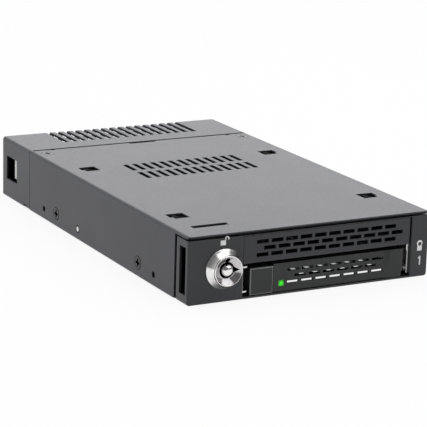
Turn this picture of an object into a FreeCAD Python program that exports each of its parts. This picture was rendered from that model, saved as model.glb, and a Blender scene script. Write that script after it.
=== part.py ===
import FreeCAD, Part
import os

import Sketcher

# A hot swap drive cage: a folded steel housing for one 3.5-inch bay, with a
# tray for one 2.5-inch drive, an eject lever, a sliding latch button and a
# tubular key lock. X runs to the right, Y from the front to the back and Z up.
# Every piece is drawn from the front face and placed half the depth forward,
# so that the origin lies in the middle of the underside. Sizes are millimetres.

SIZES = [
    # The housing as a whole
    ("cage_width", 101.6, "over the side walls, the width of a 3.5-inch bay"),
    ("cage_height", 25.4, "underside to top"),
    ("cage_depth", 175.0, "front face to rear wall"),
    ("skin", 1.0, "sheet of the two covers"),
    ("bend", 1.2, "outside radius of the covers' long bends"),
    ("front_corner", 2.2, "corners of the cover in plan"),
    ("rear_bend", 2.2, "outside radius over the rear edge"),
    ("hem", 0.4, "underside up to the covers' lower edges"),
    ("seam", 0.3, "gap between the panels of the housing"),
    ("roof_relief", 1.2, "roof sheet kept back from the seam, so that the gap is wider there"),
    ("fit", 0.2, "running clearance of what slides"),
    ("rear_bay", 31.3, "seam of the covers to the rear wall"),
    ("wall_start", 10.3, "front face to the cover's side walls"),
    ("plate", 0.8, "sheet of the base"),
    ("flange_height", 9.0, "base flanges, from the underside"),
    # Bezel
    ("bezel_depth", 8.6, "front face to the back of the bezel"),
    ("bezel_face", 1.6, "front wall of the bezel"),
    ("bezel_wall", 1.0, "side walls and returns of the bezel"),
    ("bezel_sill", 0.8, "bottom rail of the bezel"),
    ("bezel_header", 0.8, "top rail of the bezel"),
    ("bezel_edge", 0.5, "rounded front edges of the bezel"),
    ("bezel_corner", 1.2, "rounded lower corners of the bezel"),
    ("lock_panel", 22.3, "width of the panel that holds the lock"),
    ("slot_setback", 1.6, "front face to the bezel's side slots"),
    ("slot_breadth", 4.8, "width of the bezel's side slots"),
    ("slot_foot", 3.6, "underside to the side slots"),
    ("slot_drop", 4.2, "top to the side slots"),
    # Vent slots of the front
    ("vent_length", 4.9, "slot in the tray face and the lever"),
    ("face_vent_height", 1.5, "slot in the tray face"),
    ("lever_vent_height", 1.0, "slot in the lever"),
    ("vent_pitch", 6.03, "slot to slot along a row"),
    ("vent_rise", 2.35, "row to row of the lever"),
    ("face_vent_inset", 5.2, "tray's left side to the first slot"),
    ("face_vent_drop", 2.5, "top of the tray face to the first row"),
    ("face_vent_foot", 3.1, "foot of the tray face to the last row"),
    ("lever_vent_inset", 5.8, "lever's left end to the first slot"),
    ("lever_vent_drop", 2.7, "top of the lever to the first row"),
    # Tray
    ("rail", 0.6, "sheet of the tray's side rails"),
    ("rail_foot", 1.6, "underside to the rails"),
    ("rail_top", 12.9, "underside to the top of the rails"),
    ("rail_setback", 1.3, "front face to the rails"),
    ("right_panel", 7.7, "width of the panel at the right"),
    ("deck", 0.8, "sheet of the tray floor"),
    ("deck_level", 4.6, "underside of the cage to the tray floor"),
    ("deck_setback", 32.0, "front face to the tray floor"),
    ("drive_hole_near", 14.0, "drive's connector end to its first holes"),
    ("drive_hole_gap", 76.6, "first to second holes of the drive"),
    ("drive_hole_inset", 4.14, "tray's rails to the drive's holes"),
    ("drive_hole", 3.2, "clearance hole for an M3 drive screw"),
    ("face_sheet", 1.2, "front wall of the tray face"),
    ("face_flange", 0.9, "returns of the tray face"),
    ("face_gap", 1.0, "roof sheet to the top of the tray face"),
    ("face_depth", 8.0, "depth of the tray face"),
    ("face_margin", 0.7, "tray face kept back from the right rail"),
    ("face_edge", 1.0, "rounded lower edge of the tray face"),
    ("latch_wall", 1.0, "wall behind the latch and its setback"),
    # Lever and its hinge
    ("lever_left", 12.7, "tray's left side to the lever"),
    ("lever_foot", 1.1, "underside to the lever"),
    ("lever_height", 10.6, "height of the lever"),
    ("lever_depth", 6.0, "depth of the lever at its free end"),
    ("lever_wall", 1.0, "walls of the lever"),
    ("lever_scoop", 0.4, "how far the vented part lies back"),
    ("lever_land", 7.0, "hinge end that is not scooped"),
    ("scoop_slope", 3.0, "length of the slope of the scoop"),
    ("hinge_inset", 4.5, "tray's right side to the hinge axis"),
    ("hinge_setback", 2.8, "front face to the hinge axis"),
    ("hinge_radius", 0.75, "radius of the hinge pin"),
    ("hinge_fit", 0.06, "radial clearance round the hinge pin"),
    ("bracket", 0.8, "sheet of the hinge bracket"),
    ("lens_side", 2.3, "side of the lit window"),
    ("lens_inset", 3.4, "lever's left end to the middle of the window"),
    ("lens_rise", 3.1, "lever's foot to the middle of the window"),
    # Latch button
    ("latch_gap", 2.9, "tray's left side to the latch button"),
    ("latch_width", 9.5, "width of the latch button"),
    ("latch_height", 10.0, "height of the latch button"),
    ("latch_depth", 4.8, "depth of the latch button"),
    ("latch_travel", 1.6, "travel of the latch button"),
    ("stem_width", 4.0, "stem behind the latch button"),
    ("stem_height", 2.4, "stem behind the latch button"),
    ("nose", 0.1, "how far the catch nose stands out at rest"),
    # Guides
    ("guide", 0.6, "sheet of the tray guides"),
    ("guide_beyond", 3.0, "how far the guides run on behind the tray"),
    ("guide_ledge", 3.6, "width of the ledge under the tray"),
    ("lip_length", 8.0, "length of a hold-down lip"),
    ("hook_inset", 9.8, "side of the cage to the guide hooks"),
    ("hook_front", 28.0, "front face to the first hooks"),
    ("hook_back", 37.7, "seam of the covers to the second hooks"),
    ("hook_hole_width", 7.0, "hook holes across the cage"),
    ("hook_hole_length", 6.5, "hook holes along the cage"),
    ("hook_width", 3.6, "hook along the cage"),
    # Lock
    ("lock_inset", 14.7, "left side to the lock axis"),
    ("lock_rise", 12.4, "underside to the lock axis"),
    ("flange_radius", 7.5, "flange of the lock"),
    ("flange_sheet", 0.7, "thickness of the lock's flange"),
    ("bell_radius", 6.9, "foot of the lock's bell"),
    ("rim_radius", 5.6, "front rim of the lock"),
    ("rim_reach", 3.6, "how far the rim stands out"),
    ("funnel_radius", 4.7, "mouth of the lock's funnel"),
    ("key_radius", 2.85, "outside of the ring slot for the key"),
    ("post_radius", 2.0, "centre post of the lock"),
    ("barrel_radius", 5.0, "barrel of the lock"),
    ("barrel_length", 18.0, "barrel behind the front face"),
    ("key_depth", 5.0, "depth of the ring slot behind the front face"),
    ("core_fit", 0.08, "radial clearance round the lock core"),
    ("nut_flats", 12.6, "lock nut across flats"),
    ("nut_height", 3.0, "lock nut"),
    ("cam_gap", 2.0, "tip of the cam to the roof sheet"),
    ("cam_width", 5.0, "width of the cam"),
    ("cam_sheet", 1.6, "thickness of the cam"),
    ("cam_square", 3.6, "square that drives the cam"),
    ("brace", 0.8, "sheet of the lock brace"),
    ("brace_setback", 11.55, "front face to the lock brace"),
    ("brace_width", 13.4, "width of the lock brace"),
    # Top vents
    ("top_vents", 13, "slots in a row over the drive"),
    ("top_vent_pitch", 4.0, "slot to slot over the drive"),
    ("top_vent_first", -24.7, "first slot over the drive, from the middle"),
    ("top_vent_reach", 63.3, "drive's connector end to the first row over it"),
    ("top_vent_length", 10.0, "slot over the drive"),
    ("top_vent_width", 2.1, "slot over the drive"),
    ("top_vent_step", 13.25, "first row to second row over the drive"),
    ("rear_vents", 16, "slots over the rear edge"),
    ("rear_vent_pitch", 4.04, "slot to slot over the rear edge"),
    ("rear_vent_first", -29.9, "first slot over the rear edge, from the middle"),
    ("rear_vent_reach", 21.4, "rear wall to the front of the slots over the rear edge"),
    ("rear_vent_drop", 6.8, "top to the foot of the slots in the rear wall"),
    ("rear_vent_width", 2.2, "slot over the rear edge"),
    # Fasteners and mounting holes
    ("mount_front", 26.9, "front face to the first mounting hole"),
    ("mount_back", 15.2, "seam of the covers to the second mounting hole, 101.6 behind the first"),
    ("mount_rise", 4.5, "underside to the mounting holes"),
    ("mount_radius", 1.25, "core of the M3 thread"),
    ("mount_relief", 5.0, "side of the openings in the flanges behind the mounting holes"),
    ("side_screw_front", 40.2, "front face to the first side screw"),
    ("side_screw_back", 27.6, "seam of the covers to the second side screw"),
    ("side_screw_rise", 5.4, "underside to the side screws"),
    ("rivet_back", 48.9, "seam of the covers to the wall rivets"),
    ("rivet_rise", 4.4, "underside to the wall rivets"),
    ("rivet_radius", 1.5, "head of a wall rivet"),
    ("top_screw_inset", 5.2, "side of the cage to the top screws"),
    ("top_screw_back", 6.5, "seam of the covers to the top screws"),
    ("head_radius", 2.6, "countersunk head"),
    ("shank_radius", 1.2, "shank of an M2.5 screw"),
    ("shank_length", 3.0, "length of the countersunk screws"),
    ("recess_width", 0.6, "cross recess"),
    # Rear of the cage
    ("tongue", 12.2, "rear cover's tongue under the main cover"),
    ("window_back", 6.0, "rear wall to the side windows"),
    ("window_length", 11.5, "side windows"),
    ("window_foot", 8.0, "underside to the side windows"),
    ("window_height", 10.0, "side windows"),
    ("board_gap", 18.7, "rear wall to the front of the backplane"),
    ("board", 1.6, "thickness of the backplane"),
    ("board_margin", 1.8, "side walls to the backplane"),
    ("board_foot", 2.0, "underside to the backplane"),
    ("board_drop", 1.8, "roof sheet to the top of the backplane"),
    ("board_screw_inset", 6.0, "side of the cage to the board screws"),
    ("board_screw_rise", 5.2, "underside to the board screws"),
    ("board_tab", 5.2, "width of the tabs that hold the board"),
    ("connector_depth", 9.0, "drive connector in front of the backplane"),
    ("connector_offset", 4.8, "tray's middle to the drive connector's middle"),
    ("connector_width", 42.0, "drive connector over its guide horns"),
    ("connector_height", 5.6, "drive connector"),
    ("connector_rise", 8.9, "underside to the drive connector's axis"),
    ("tongue_slot", 34.5, "mating slot of the drive connector"),
    ("contact_pitch", 1.27, "contact to contact"),
    ("drive_contacts", 22, "contacts of the drive connector"),
    ("power_inset", 20.9, "left side to the middle of the power connector"),
    ("power_width", 24.0, "power connector"),
    ("data_inset", 47.8, "left side to the middle of the data connector"),
    ("data_width", 16.4, "data connector"),
    ("plug_height", 6.4, "rear connectors"),
    ("plug_rise", 9.2, "underside to the rear connectors' axis"),
    ("plug_play", 1.5, "gap round the rear connectors"),
    ("pipe", 2.0, "side of the square light pipe"),
]

TOUCH = 0.01
CONE = -56
QUARTER = 1.5707963267948966
ROOT_THREE = 1.7320508


class Size:
    """A number that remembers the formula, in the sheet's names, that gives it."""

    def __init__(self, value, formula):
        self.value = float(value)
        self.formula = formula

    def __add__(self, other):
        other = size(other)
        return Size(self.value + other.value, f"({self.formula} + {other.formula})")

    def __sub__(self, other):
        other = size(other)
        return Size(self.value - other.value, f"({self.formula} - {other.formula})")

    def __mul__(self, other):
        other = size(other)
        return Size(self.value * other.value, f"({self.formula} * {other.formula})")

    def __truediv__(self, other):
        other = size(other)
        return Size(self.value / other.value, f"({self.formula} / {other.formula})")

    def __radd__(self, other):
        return size(other) + self

    def __rsub__(self, other):
        return size(other) - self

    def __rmul__(self, other):
        return size(other) * self

    def __neg__(self):
        return size(0) - self


def size(amount):
    return amount if isinstance(amount, Size) else Size(amount, repr(float(amount)))


def fitting(room, pitch):
    """How many things, one pitch apart, have room for their first to last places."""
    steps = room / pitch
    return Size(steps.value // 1, f"floor({steps.formula})") + 1


doc = FreeCAD.newDocument("drive_cage")
sheet = doc.addObject("Spreadsheet::Sheet", "sizes")


class Names:
    """The sheet's cells by name."""


mm = Names()
for row, (name, value, note) in enumerate(SIZES, start=1):
    sheet.set(f"A{row}", note)
    sheet.set(f"B{row}", str(value))
    sheet.setAlias(f"B{row}", name)
    setattr(mm, name, Size(value, "sizes." + name))
doc.recompute()

nodes = []
planes = {}


# ---------------------------------------------------------------- drawing aids
def bind(thing, name, amount):
    """Tie a property to the sheet."""
    thing.setExpression(name, size(amount).formula)


def piece(label):
    """A new body, drawn from the front face of the cage."""
    owner = doc.addObject("PartDesign::Body", label)
    owner.Label = label
    bind(owner, "Placement.Base.y", -mm.cage_depth / 2)
    nodes.append(owner)
    return owner


def datum(owner, role):
    return next(item for item in owner.Origin.OriginFeatures if item.Role == role)


def sketch(owner, name, plane, level=0):
    """An empty sketch on a plane of the body's own origin, moved along its normal axis."""
    drawing = owner.newObject("Sketcher::SketchObject", f"{owner.Label}_{name}")
    drawing.AttachmentSupport = (datum(owner, plane + "_Plane"), [""])
    drawing.MapMode = "FlatFace"
    bind(drawing, "AttachmentOffset.Base.z", -size(level) if plane == "XZ" else level)
    planes[drawing.Name] = plane
    return drawing


def fix(drawing, edge, point, x, y):
    """Hold one point of an edge at x, y from the sketch's origin."""
    for kind, amount in (("DistanceX", size(x)), ("DistanceY", size(y))):
        rule = Sketcher.Constraint(kind, -1, 1, edge, point, amount.value)
        index = drawing.addConstraint(rule)
        drawing.setExpression(f"Constraints[{index}]", amount.formula)


def polygon(drawing, corners):
    """A closed outline with straight sides."""
    first = drawing.GeometryCount
    spots = [FreeCAD.Vector(size(x).value, size(y).value, 0) for x, y in corners]
    count = len(spots)
    for index, spot in enumerate(spots):
        drawing.addGeometry(Part.LineSegment(spot, spots[(index + 1) % count]), False)
    for index, (x, y) in enumerate(corners):
        edge = first + index
        follower = first + (index + 1) % count
        drawing.addConstraint(Sketcher.Constraint("Coincident", edge, 2, follower, 1))
        fix(drawing, edge, 1, x, y)


def rectangle(drawing, across, up):
    polygon(drawing, [(across[0], up[0]), (across[1], up[0]), (across[1], up[1]), (across[0], up[1])])


def circle(drawing, x, y, radius):
    radius = size(radius)
    middle = FreeCAD.Vector(size(x).value, size(y).value, 0)
    edge = drawing.addGeometry(Part.Circle(middle, FreeCAD.Vector(0, 0, 1), radius.value), False)
    fix(drawing, edge, 3, x, y)
    index = drawing.addConstraint(Sketcher.Constraint("Radius", edge, radius.value))
    drawing.setExpression(f"Constraints[{index}]", radius.formula)


def pad(owner, drawing, length, forward=True, taper=0):
    """Add a sketch's area along its positive axis, or back along it."""
    feature = owner.newObject("PartDesign::Pad", drawing.Name + "_pad")
    feature.Profile = drawing
    feature.Reversed = (planes[drawing.Name] == "XZ") == forward
    feature.TaperAngle = taper
    bind(feature, "Length", length)
    return feature


def pocket(owner, drawing, length, forward=True, taper=0):
    """Cut a sketch's area along its positive axis, or back along it."""
    feature = owner.newObject("PartDesign::Pocket", drawing.Name + "_cut")
    feature.Profile = drawing
    feature.Reversed = (planes[drawing.Name] != "XZ") == forward
    feature.TaperAngle = taper
    bind(feature, "Length", length)
    return feature


def box(owner, name, x, y, z):
    """Add a block, given by its limits along each axis."""
    drawing = sketch(owner, name, "XY", z[0])
    rectangle(drawing, x, y)
    return pad(owner, drawing, size(z[1]) - z[0])


def hollow(owner, name, x, y, z):
    """Cut a block, given by its limits along each axis."""
    drawing = sketch(owner, name, "XY", z[0])
    rectangle(drawing, x, y)
    return pocket(owner, drawing, size(z[1]) - z[0])


def bore(owner, name, plane, level, depth, spots, radius, forward=True, taper=0):
    """Cut round holes of one radius at several places."""
    drawing = sketch(owner, name, plane, level)
    for x, y in spots:
        circle(drawing, x, y, radius)
    return pocket(owner, drawing, depth, forward, taper)


def boss(owner, name, plane, level, length, spots, radius, forward=True, taper=0):
    """Add round bosses of one radius at several places."""
    drawing = sketch(owner, name, plane, level)
    for x, y in spots:
        circle(drawing, x, y, radius)
    return pad(owner, drawing, length, forward, taper)


def repeat(owner, feature, first, second=None):
    """Repeat a feature in one or two directions; each is (axis, count, pitch)."""
    pattern = owner.newObject("PartDesign::LinearPattern", feature.Name + "_row")
    pattern.Originals = [feature]
    for suffix, run in (("", first), ("2", second)):
        if run:
            axis, count, pitch = run
            setattr(pattern, "Direction" + suffix, (datum(owner, axis + "_Axis"), [""]))
            setattr(pattern, "Mode" + suffix, "Extent")
            bind(pattern, "Length" + suffix, (size(count) - 1) * pitch)
            bind(pattern, "Occurrences" + suffix, count)
    owner.Tip = pattern
    return pattern


def straight(edge, axis, **place):
    """True for an edge along one axis that lies at one of the places named."""
    span = edge.BoundBox
    limits = {"x": (span.XMin, span.XMax), "y": (span.YMin, span.YMax), "z": (span.ZMin, span.ZMax)}
    for key, (low, high) in limits.items():
        if key == axis:
            continue
        if high - low > TOUCH:
            return False
        if key in place and not any(abs(low - size(at).value) < TOUCH for at in place[key]):
            return False
    return edge.Length > TOUCH


def round_edges(owner, name, radius, chosen):
    """Round the edges of the shape so far that a test picks out."""
    doc.recompute()
    base = owner.Tip
    edges = [f"Edge{i}" for i, edge in enumerate(base.Shape.Edges, start=1) if chosen(edge)]
    if not edges:
        raise ValueError(f"{owner.Label}: no edge to round for {name}")
    feature = owner.newObject("PartDesign::Fillet", f"{owner.Label}_{name}")
    feature.Base = (base, edges)
    bind(feature, "Radius", radius)
    return feature


# ------------------------------------------------------ places that pieces share
half = mm.cage_width / 2
open_left = mm.lock_panel - half
open_right = half - mm.right_panel
tray_left = open_left + mm.fit
tray_right = open_right - mm.fit
tray_middle = (tray_left + tray_right) / 2
roof = mm.cage_height - mm.skin
inner = half - mm.skin
inner_left = tray_left + mm.rail
inner_right = tray_right - mm.rail
lock_x = mm.lock_inset - half
face_right = tray_right - mm.face_margin
lever_x = tray_left + mm.lever_left
hinge_x = tray_right - mm.hinge_inset
lever_top = mm.lever_foot + mm.lever_height
latch_x = tray_left + mm.latch_gap
latch_middle = latch_x + mm.latch_width / 2
latch_z = mm.lever_foot + mm.latch_height / 2
lug_foot = mm.rail_foot + mm.skin / 2
nose_front = mm.lever_scoop + mm.lever_depth / 2
lens_x = lever_x + mm.lens_inset
lens_z = mm.lever_foot + mm.lens_rise
face_top = roof - mm.face_gap
floor_top = mm.plate
cover_end = mm.cage_depth - mm.rear_bay
rear_start = cover_end + mm.seam
tongue_front = rear_start - mm.tongue
rear_inside = mm.cage_depth - mm.skin
board_front = mm.cage_depth - mm.board_gap
drive_end = board_front - mm.connector_depth
tray_end = drive_end - mm.seam
guide_back = tray_end + mm.guide_beyond
drive_x = tray_middle - mm.connector_offset
hook_line = half - mm.hook_inset
hook_rows = [mm.hook_front, cover_end - mm.hook_back]
cam_tip = roof - mm.cam_gap
top_vent_front = drive_end - mm.top_vent_reach
mount_spots = [(mm.mount_front, mm.mount_rise), (cover_end - mm.mount_back, mm.mount_rise)]
side_screws = [(place, mm.side_screw_rise) for place in (mm.side_screw_front, cover_end - mm.side_screw_back)]
wall_rivet = [(cover_end - mm.rivet_back, mm.rivet_rise)]
top_screws = [((half - mm.top_screw_inset) * side, cover_end - mm.top_screw_back) for side in (-1, 1)]
board_screws = [((half - mm.board_screw_inset) * side, mm.board_screw_rise) for side in (-1, 1)]


# ------------------------------------------------------------------ the housing
def front_bezel():
    """The frame round the tray: a lock panel, a narrow panel, a sill and a header."""
    owner = piece("front_bezel")
    box(owner, "outer", (-half, half), (0, mm.bezel_depth), (0, roof - mm.fit))
    up = (mm.bezel_sill, roof - mm.bezel_header)
    hollow(owner, "opening", (open_left, open_right), (0, mm.bezel_depth), up)
    for name, left, right in (("lock_bay", -half, open_left), ("narrow_bay", open_right, half)):
        across = (left + mm.bezel_wall, right - mm.bezel_wall)
        hollow(owner, name, across, (mm.bezel_face, mm.bezel_depth), up)
    slots = sketch(owner, "side_slots", "YZ", -half)
    along = (mm.slot_setback, mm.slot_setback + mm.slot_breadth)
    rectangle(slots, along, (mm.slot_foot, mm.cage_height - mm.slot_drop))
    pocket(owner, slots, mm.bezel_wall)
    mirror_slots = sketch(owner, "far_slots", "YZ", half)
    rectangle(mirror_slots, along, (mm.slot_foot, mm.cage_height - mm.slot_drop))
    pocket(owner, mirror_slots, mm.bezel_wall, forward=False)
    bore(owner, "lock_hole", "XZ", 0, mm.bezel_face, [(lock_x, mm.lock_rise)], mm.barrel_radius + mm.core_fit)
    feet = {"x": (-half, half), "z": (0,)}
    round_edges(owner, "feet", mm.bezel_corner, lambda edge: straight(edge, "y", **feet))
    uprights = {"x": (-half, half, open_right), "y": (0,)}
    round_edges(owner, "edges", mm.bezel_edge, lambda edge: straight(edge, "z", **uprights))


def cage_cover():
    """The folded main cover: roof and two side walls with its vents, slots and holes."""
    owner = piece("cage_cover")
    box(owner, "outer", (-half, half), (0, cover_end), (mm.hem, mm.cage_height))
    hollow(owner, "inside", (-inner, inner), (0, cover_end), (mm.hem, roof))
    long_edges = {"x": (-half, half), "z": (mm.cage_height,)}
    round_edges(owner, "bends", mm.bend, lambda edge: straight(edge, "y", **long_edges))
    hollow(owner, "front", (-half, half), (0, mm.wall_start), (mm.hem, roof))
    corners = sketch(owner, "corners", "XY", mm.hem)
    for side in (-1, 1):
        corner_waste(corners, side)
    pocket(owner, corners, mm.cage_height - mm.hem)

    first = mm.top_vent_first - mm.top_vent_width / 2
    vent = hollow(
        owner,
        "vent",
        (first, first + mm.top_vent_width),
        (top_vent_front, top_vent_front + mm.top_vent_length),
        (roof, mm.cage_height),
    )
    repeat(owner, vent, ("X", mm.top_vents, mm.top_vent_pitch), ("Y", 2, mm.top_vent_step))

    hooks = sketch(owner, "hook_holes", "XY", roof)
    for side in (-1, 1):
        for middle in hook_rows:
            hook_hole(hooks, side, middle)
    pocket(owner, hooks, mm.skin)
    half_brace = mm.brace_width / 2
    hollow(
        owner,
        "brace_slot",
        (lock_x - half_brace - mm.skin / 2, lock_x + half_brace + mm.skin / 2),
        (mm.brace_setback - mm.skin, mm.brace_setback + mm.brace + mm.skin),
        (roof, mm.cage_height),
    )
    across = (mm.bend - half, half - mm.bend)
    hollow(owner, "roof_seam", across, (cover_end - mm.roof_relief, cover_end), (roof, mm.cage_height))
    notch = mm.hook_hole_width * 7 / 8
    notch_depth = mm.roof_relief * 2
    hollow(owner, "rear_notch", (-notch, notch), (cover_end - notch_depth, cover_end), (roof, mm.cage_height))
    for name, side in (("left", -1), ("right", 1)):
        middle = hook_line * side
        across = (middle - mm.skin, middle + mm.skin)
        hollow(owner, name + "_notch", across, (cover_end - mm.skin * 2, cover_end), (roof, mm.cage_height))

    head = mm.head_radius + mm.fit
    bore(owner, "top_sinks", "XY", mm.cage_height, mm.skin, top_screws, head, False, CONE)
    for name, side in (("left", -1), ("right", 1)):
        wall = half * side
        inwards = side < 0
        bore(owner, name + "_mounts", "YZ", wall, mm.skin, mount_spots, mm.mount_radius, inwards)
        bore(owner, name + "_sinks", "YZ", wall, mm.skin, side_screws, head, inwards, CONE)
        bore(owner, name + "_rivets", "YZ", wall, mm.skin, wall_rivet, mm.rivet_radius + mm.fit / 4, inwards)


def corner_waste(drawing, side):
    """What a rounded front corner of the cover leaves off."""
    radius = mm.front_corner
    edge = half * side
    start = edge - radius * side
    first = drawing.GeometryCount
    corner = FreeCAD.Vector(edge.value, 0, 0)
    near = FreeCAD.Vector(start.value, 0, 0)
    far = FreeCAD.Vector(edge.value, radius.value, 0)
    low, high = (-QUARTER, 0) if side > 0 else (-QUARTER * 2, -QUARTER)
    ring = Part.Circle(FreeCAD.Vector(start.value, radius.value, 0), FreeCAD.Vector(0, 0, 1), radius.value)
    drawing.addGeometry(Part.LineSegment(near, corner), False)
    drawing.addGeometry(Part.LineSegment(corner, far), False)
    arc = drawing.addGeometry(Part.ArcOfCircle(ring, low, high), False)
    front, back = (1, 2) if side > 0 else (2, 1)
    drawing.addConstraint(Sketcher.Constraint("Coincident", first, 2, first + 1, 1))
    drawing.addConstraint(Sketcher.Constraint("Coincident", arc, front, first, 1))
    drawing.addConstraint(Sketcher.Constraint("Coincident", arc, back, first + 1, 2))
    fix(drawing, first, 1, start, 0)
    fix(drawing, first, 2, edge, 0)
    fix(drawing, arc, 3, start, radius)


def hook_hole(drawing, side, middle):
    """A stepped hole that takes the hook of a guide; the step faces outwards and forwards."""
    reach = mm.hook_hole_width / 2 * side
    line = hook_line * side
    near = middle - mm.hook_hole_length / 2
    far = middle + mm.hook_hole_length / 2
    step = mm.skin * side
    polygon(
        drawing,
        [
            (line - reach, near),
            (line + reach - step, near),
            (line + reach - step, near + mm.skin * 2),
            (line + reach, near + mm.skin * 2),
            (line + reach, far),
            (line - reach, far),
        ],
    )


def base_plate():
    """The floor of the cage, with side flanges, intake slots, and tabs for board and screws."""
    owner = piece("base_plate")
    start = mm.bezel_depth + mm.seam
    box(owner, "floor", (-inner, inner), (start, rear_inside - mm.fit), (0, floor_top))
    flange_start = mm.wall_start + mm.seam
    for name, side in (("left", -1), ("right", 1)):
        drawing = sketch(owner, name + "_flange", "YZ", inner * side)
        rectangle(drawing, (flange_start, cover_end), (0, mm.flange_height))
        pad(owner, drawing, mm.plate, side < 0)
        reliefs = sketch(owner, name + "_reliefs", "YZ", inner * side)
        reach = mm.mount_relief / 2
        for y, z in mount_spots:
            rectangle(reliefs, (y - reach, y + reach), (z - reach, z + reach))
        pocket(owner, reliefs, mm.plate, side < 0)
        bore(owner, name + "_screws", "YZ", inner * side, mm.plate, side_screws, mm.shank_radius, side < 0)
        clear = mm.rivet_radius + mm.core_fit
        bore(owner, name + "_rivets", "YZ", inner * side, mm.plate, wall_rivet, clear, side < 0)

    tab_half = mm.board_tab / 2
    back = board_front + mm.board
    for name, (middle, rise) in zip(("left", "right"), board_screws):
        across = (middle - tab_half, middle + tab_half)
        box(owner, name + "_tab", across, (back, back + mm.skin), (floor_top, rise + tab_half))
    bore(owner, "tab_holes", "XZ", back, mm.skin, board_screws, mm.shank_radius)

    mouth_left = lever_x + mm.lens_inset
    mouth_right = open_right - mm.guide_ledge
    mouth_front = start + mm.skin
    mouth_back = mouth_front + mm.lever_depth
    hollow(owner, "mouth", (mouth_left, mouth_right), (mouth_front, mouth_back), (0, floor_top))
    slot_front = mouth_back + mm.skin * 2
    across = (mouth_left, mouth_left + mm.vent_length * 2 / 3)
    slot = hollow(owner, "intake", across, (slot_front, slot_front + mm.top_vent_length), (0, floor_top))
    repeat(owner, slot, ("X", fitting(mouth_right - across[1], mm.vent_pitch), mm.vent_pitch))
    across = (inner_left + mm.vent_pitch, inner_left + mm.vent_pitch + mm.vent_length)
    along = (top_vent_front - mm.top_vent_step * 2, top_vent_front + mm.top_vent_step * 3)
    long_slot = hollow(owner, "exhaust", across, along, (0, floor_top))
    step = mm.vent_pitch * 2
    repeat(owner, long_slot, ("X", fitting(inner_right - mm.vent_pitch - across[1], step), step))


def lever_end():
    """The lever's right end, which is rounded about the hinge."""
    return hinge_x + mm.hinge_setback


def rear_cover():
    """The cover of the connector bay: roof, sides, rear wall, vents over the edge and a tongue."""
    owner = piece("rear_cover")
    box(owner, "outer", (-half, half), (rear_start, mm.cage_depth), (mm.hem, mm.cage_height))
    hollow(owner, "inside", (-inner, inner), (rear_start, rear_inside), (mm.hem, roof))
    long_edges = {"x": (-half, half), "z": (mm.cage_height,)}
    round_edges(owner, "bends", mm.bend, lambda edge: straight(edge, "y", **long_edges))
    rear_edge = {"y": (mm.cage_depth,), "z": (mm.cage_height,)}
    round_edges(owner, "rear", mm.rear_bend, lambda edge: straight(edge, "x", **rear_edge))
    tongue_edge = inner - mm.seam
    box(
        owner,
        "tongue",
        (-tongue_edge, tongue_edge),
        (tongue_front, rear_start + mm.skin * 2),
        (roof - mm.skin, roof),
    )
    bore(owner, "screw_holes", "XY", roof - mm.skin, mm.skin, top_screws, mm.shank_radius)
    for name, side in (("left", -1), ("right", 1)):
        drawing = sketch(owner, name + "_window", "YZ", half * side)
        window_end = mm.cage_depth - mm.window_back
        window = (window_end - mm.window_length, window_end)
        rectangle(drawing, window, (mm.window_foot, mm.window_foot + mm.window_height))
        step = (rear_start, rear_start + mm.tongue / 2)
        rectangle(drawing, step, (mm.hem, mm.hem + mm.skin))
        pocket(owner, drawing, mm.skin, side < 0)
    first = mm.rear_vent_first - mm.rear_vent_width / 2
    vent = hollow(
        owner,
        "vent",
        (first, first + mm.rear_vent_width),
        (mm.cage_depth - mm.rear_vent_reach, mm.cage_depth),
        (mm.cage_height - mm.rear_vent_drop, mm.cage_height),
    )
    repeat(owner, vent, ("X", mm.rear_vents, mm.rear_vent_pitch))
    rise = mm.plug_height / 2 + mm.plug_play
    up = (mm.plug_rise - rise, mm.plug_rise + rise)
    ports = (("power", mm.power_inset, mm.power_width), ("data", mm.data_inset, mm.data_width))
    for name, inset, width in ports:
        middle = inset - half
        reach = width / 2 + mm.plug_play
        hollow(owner, name + "_port", (middle - reach, middle + reach), (rear_inside, mm.cage_depth), up)


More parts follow.
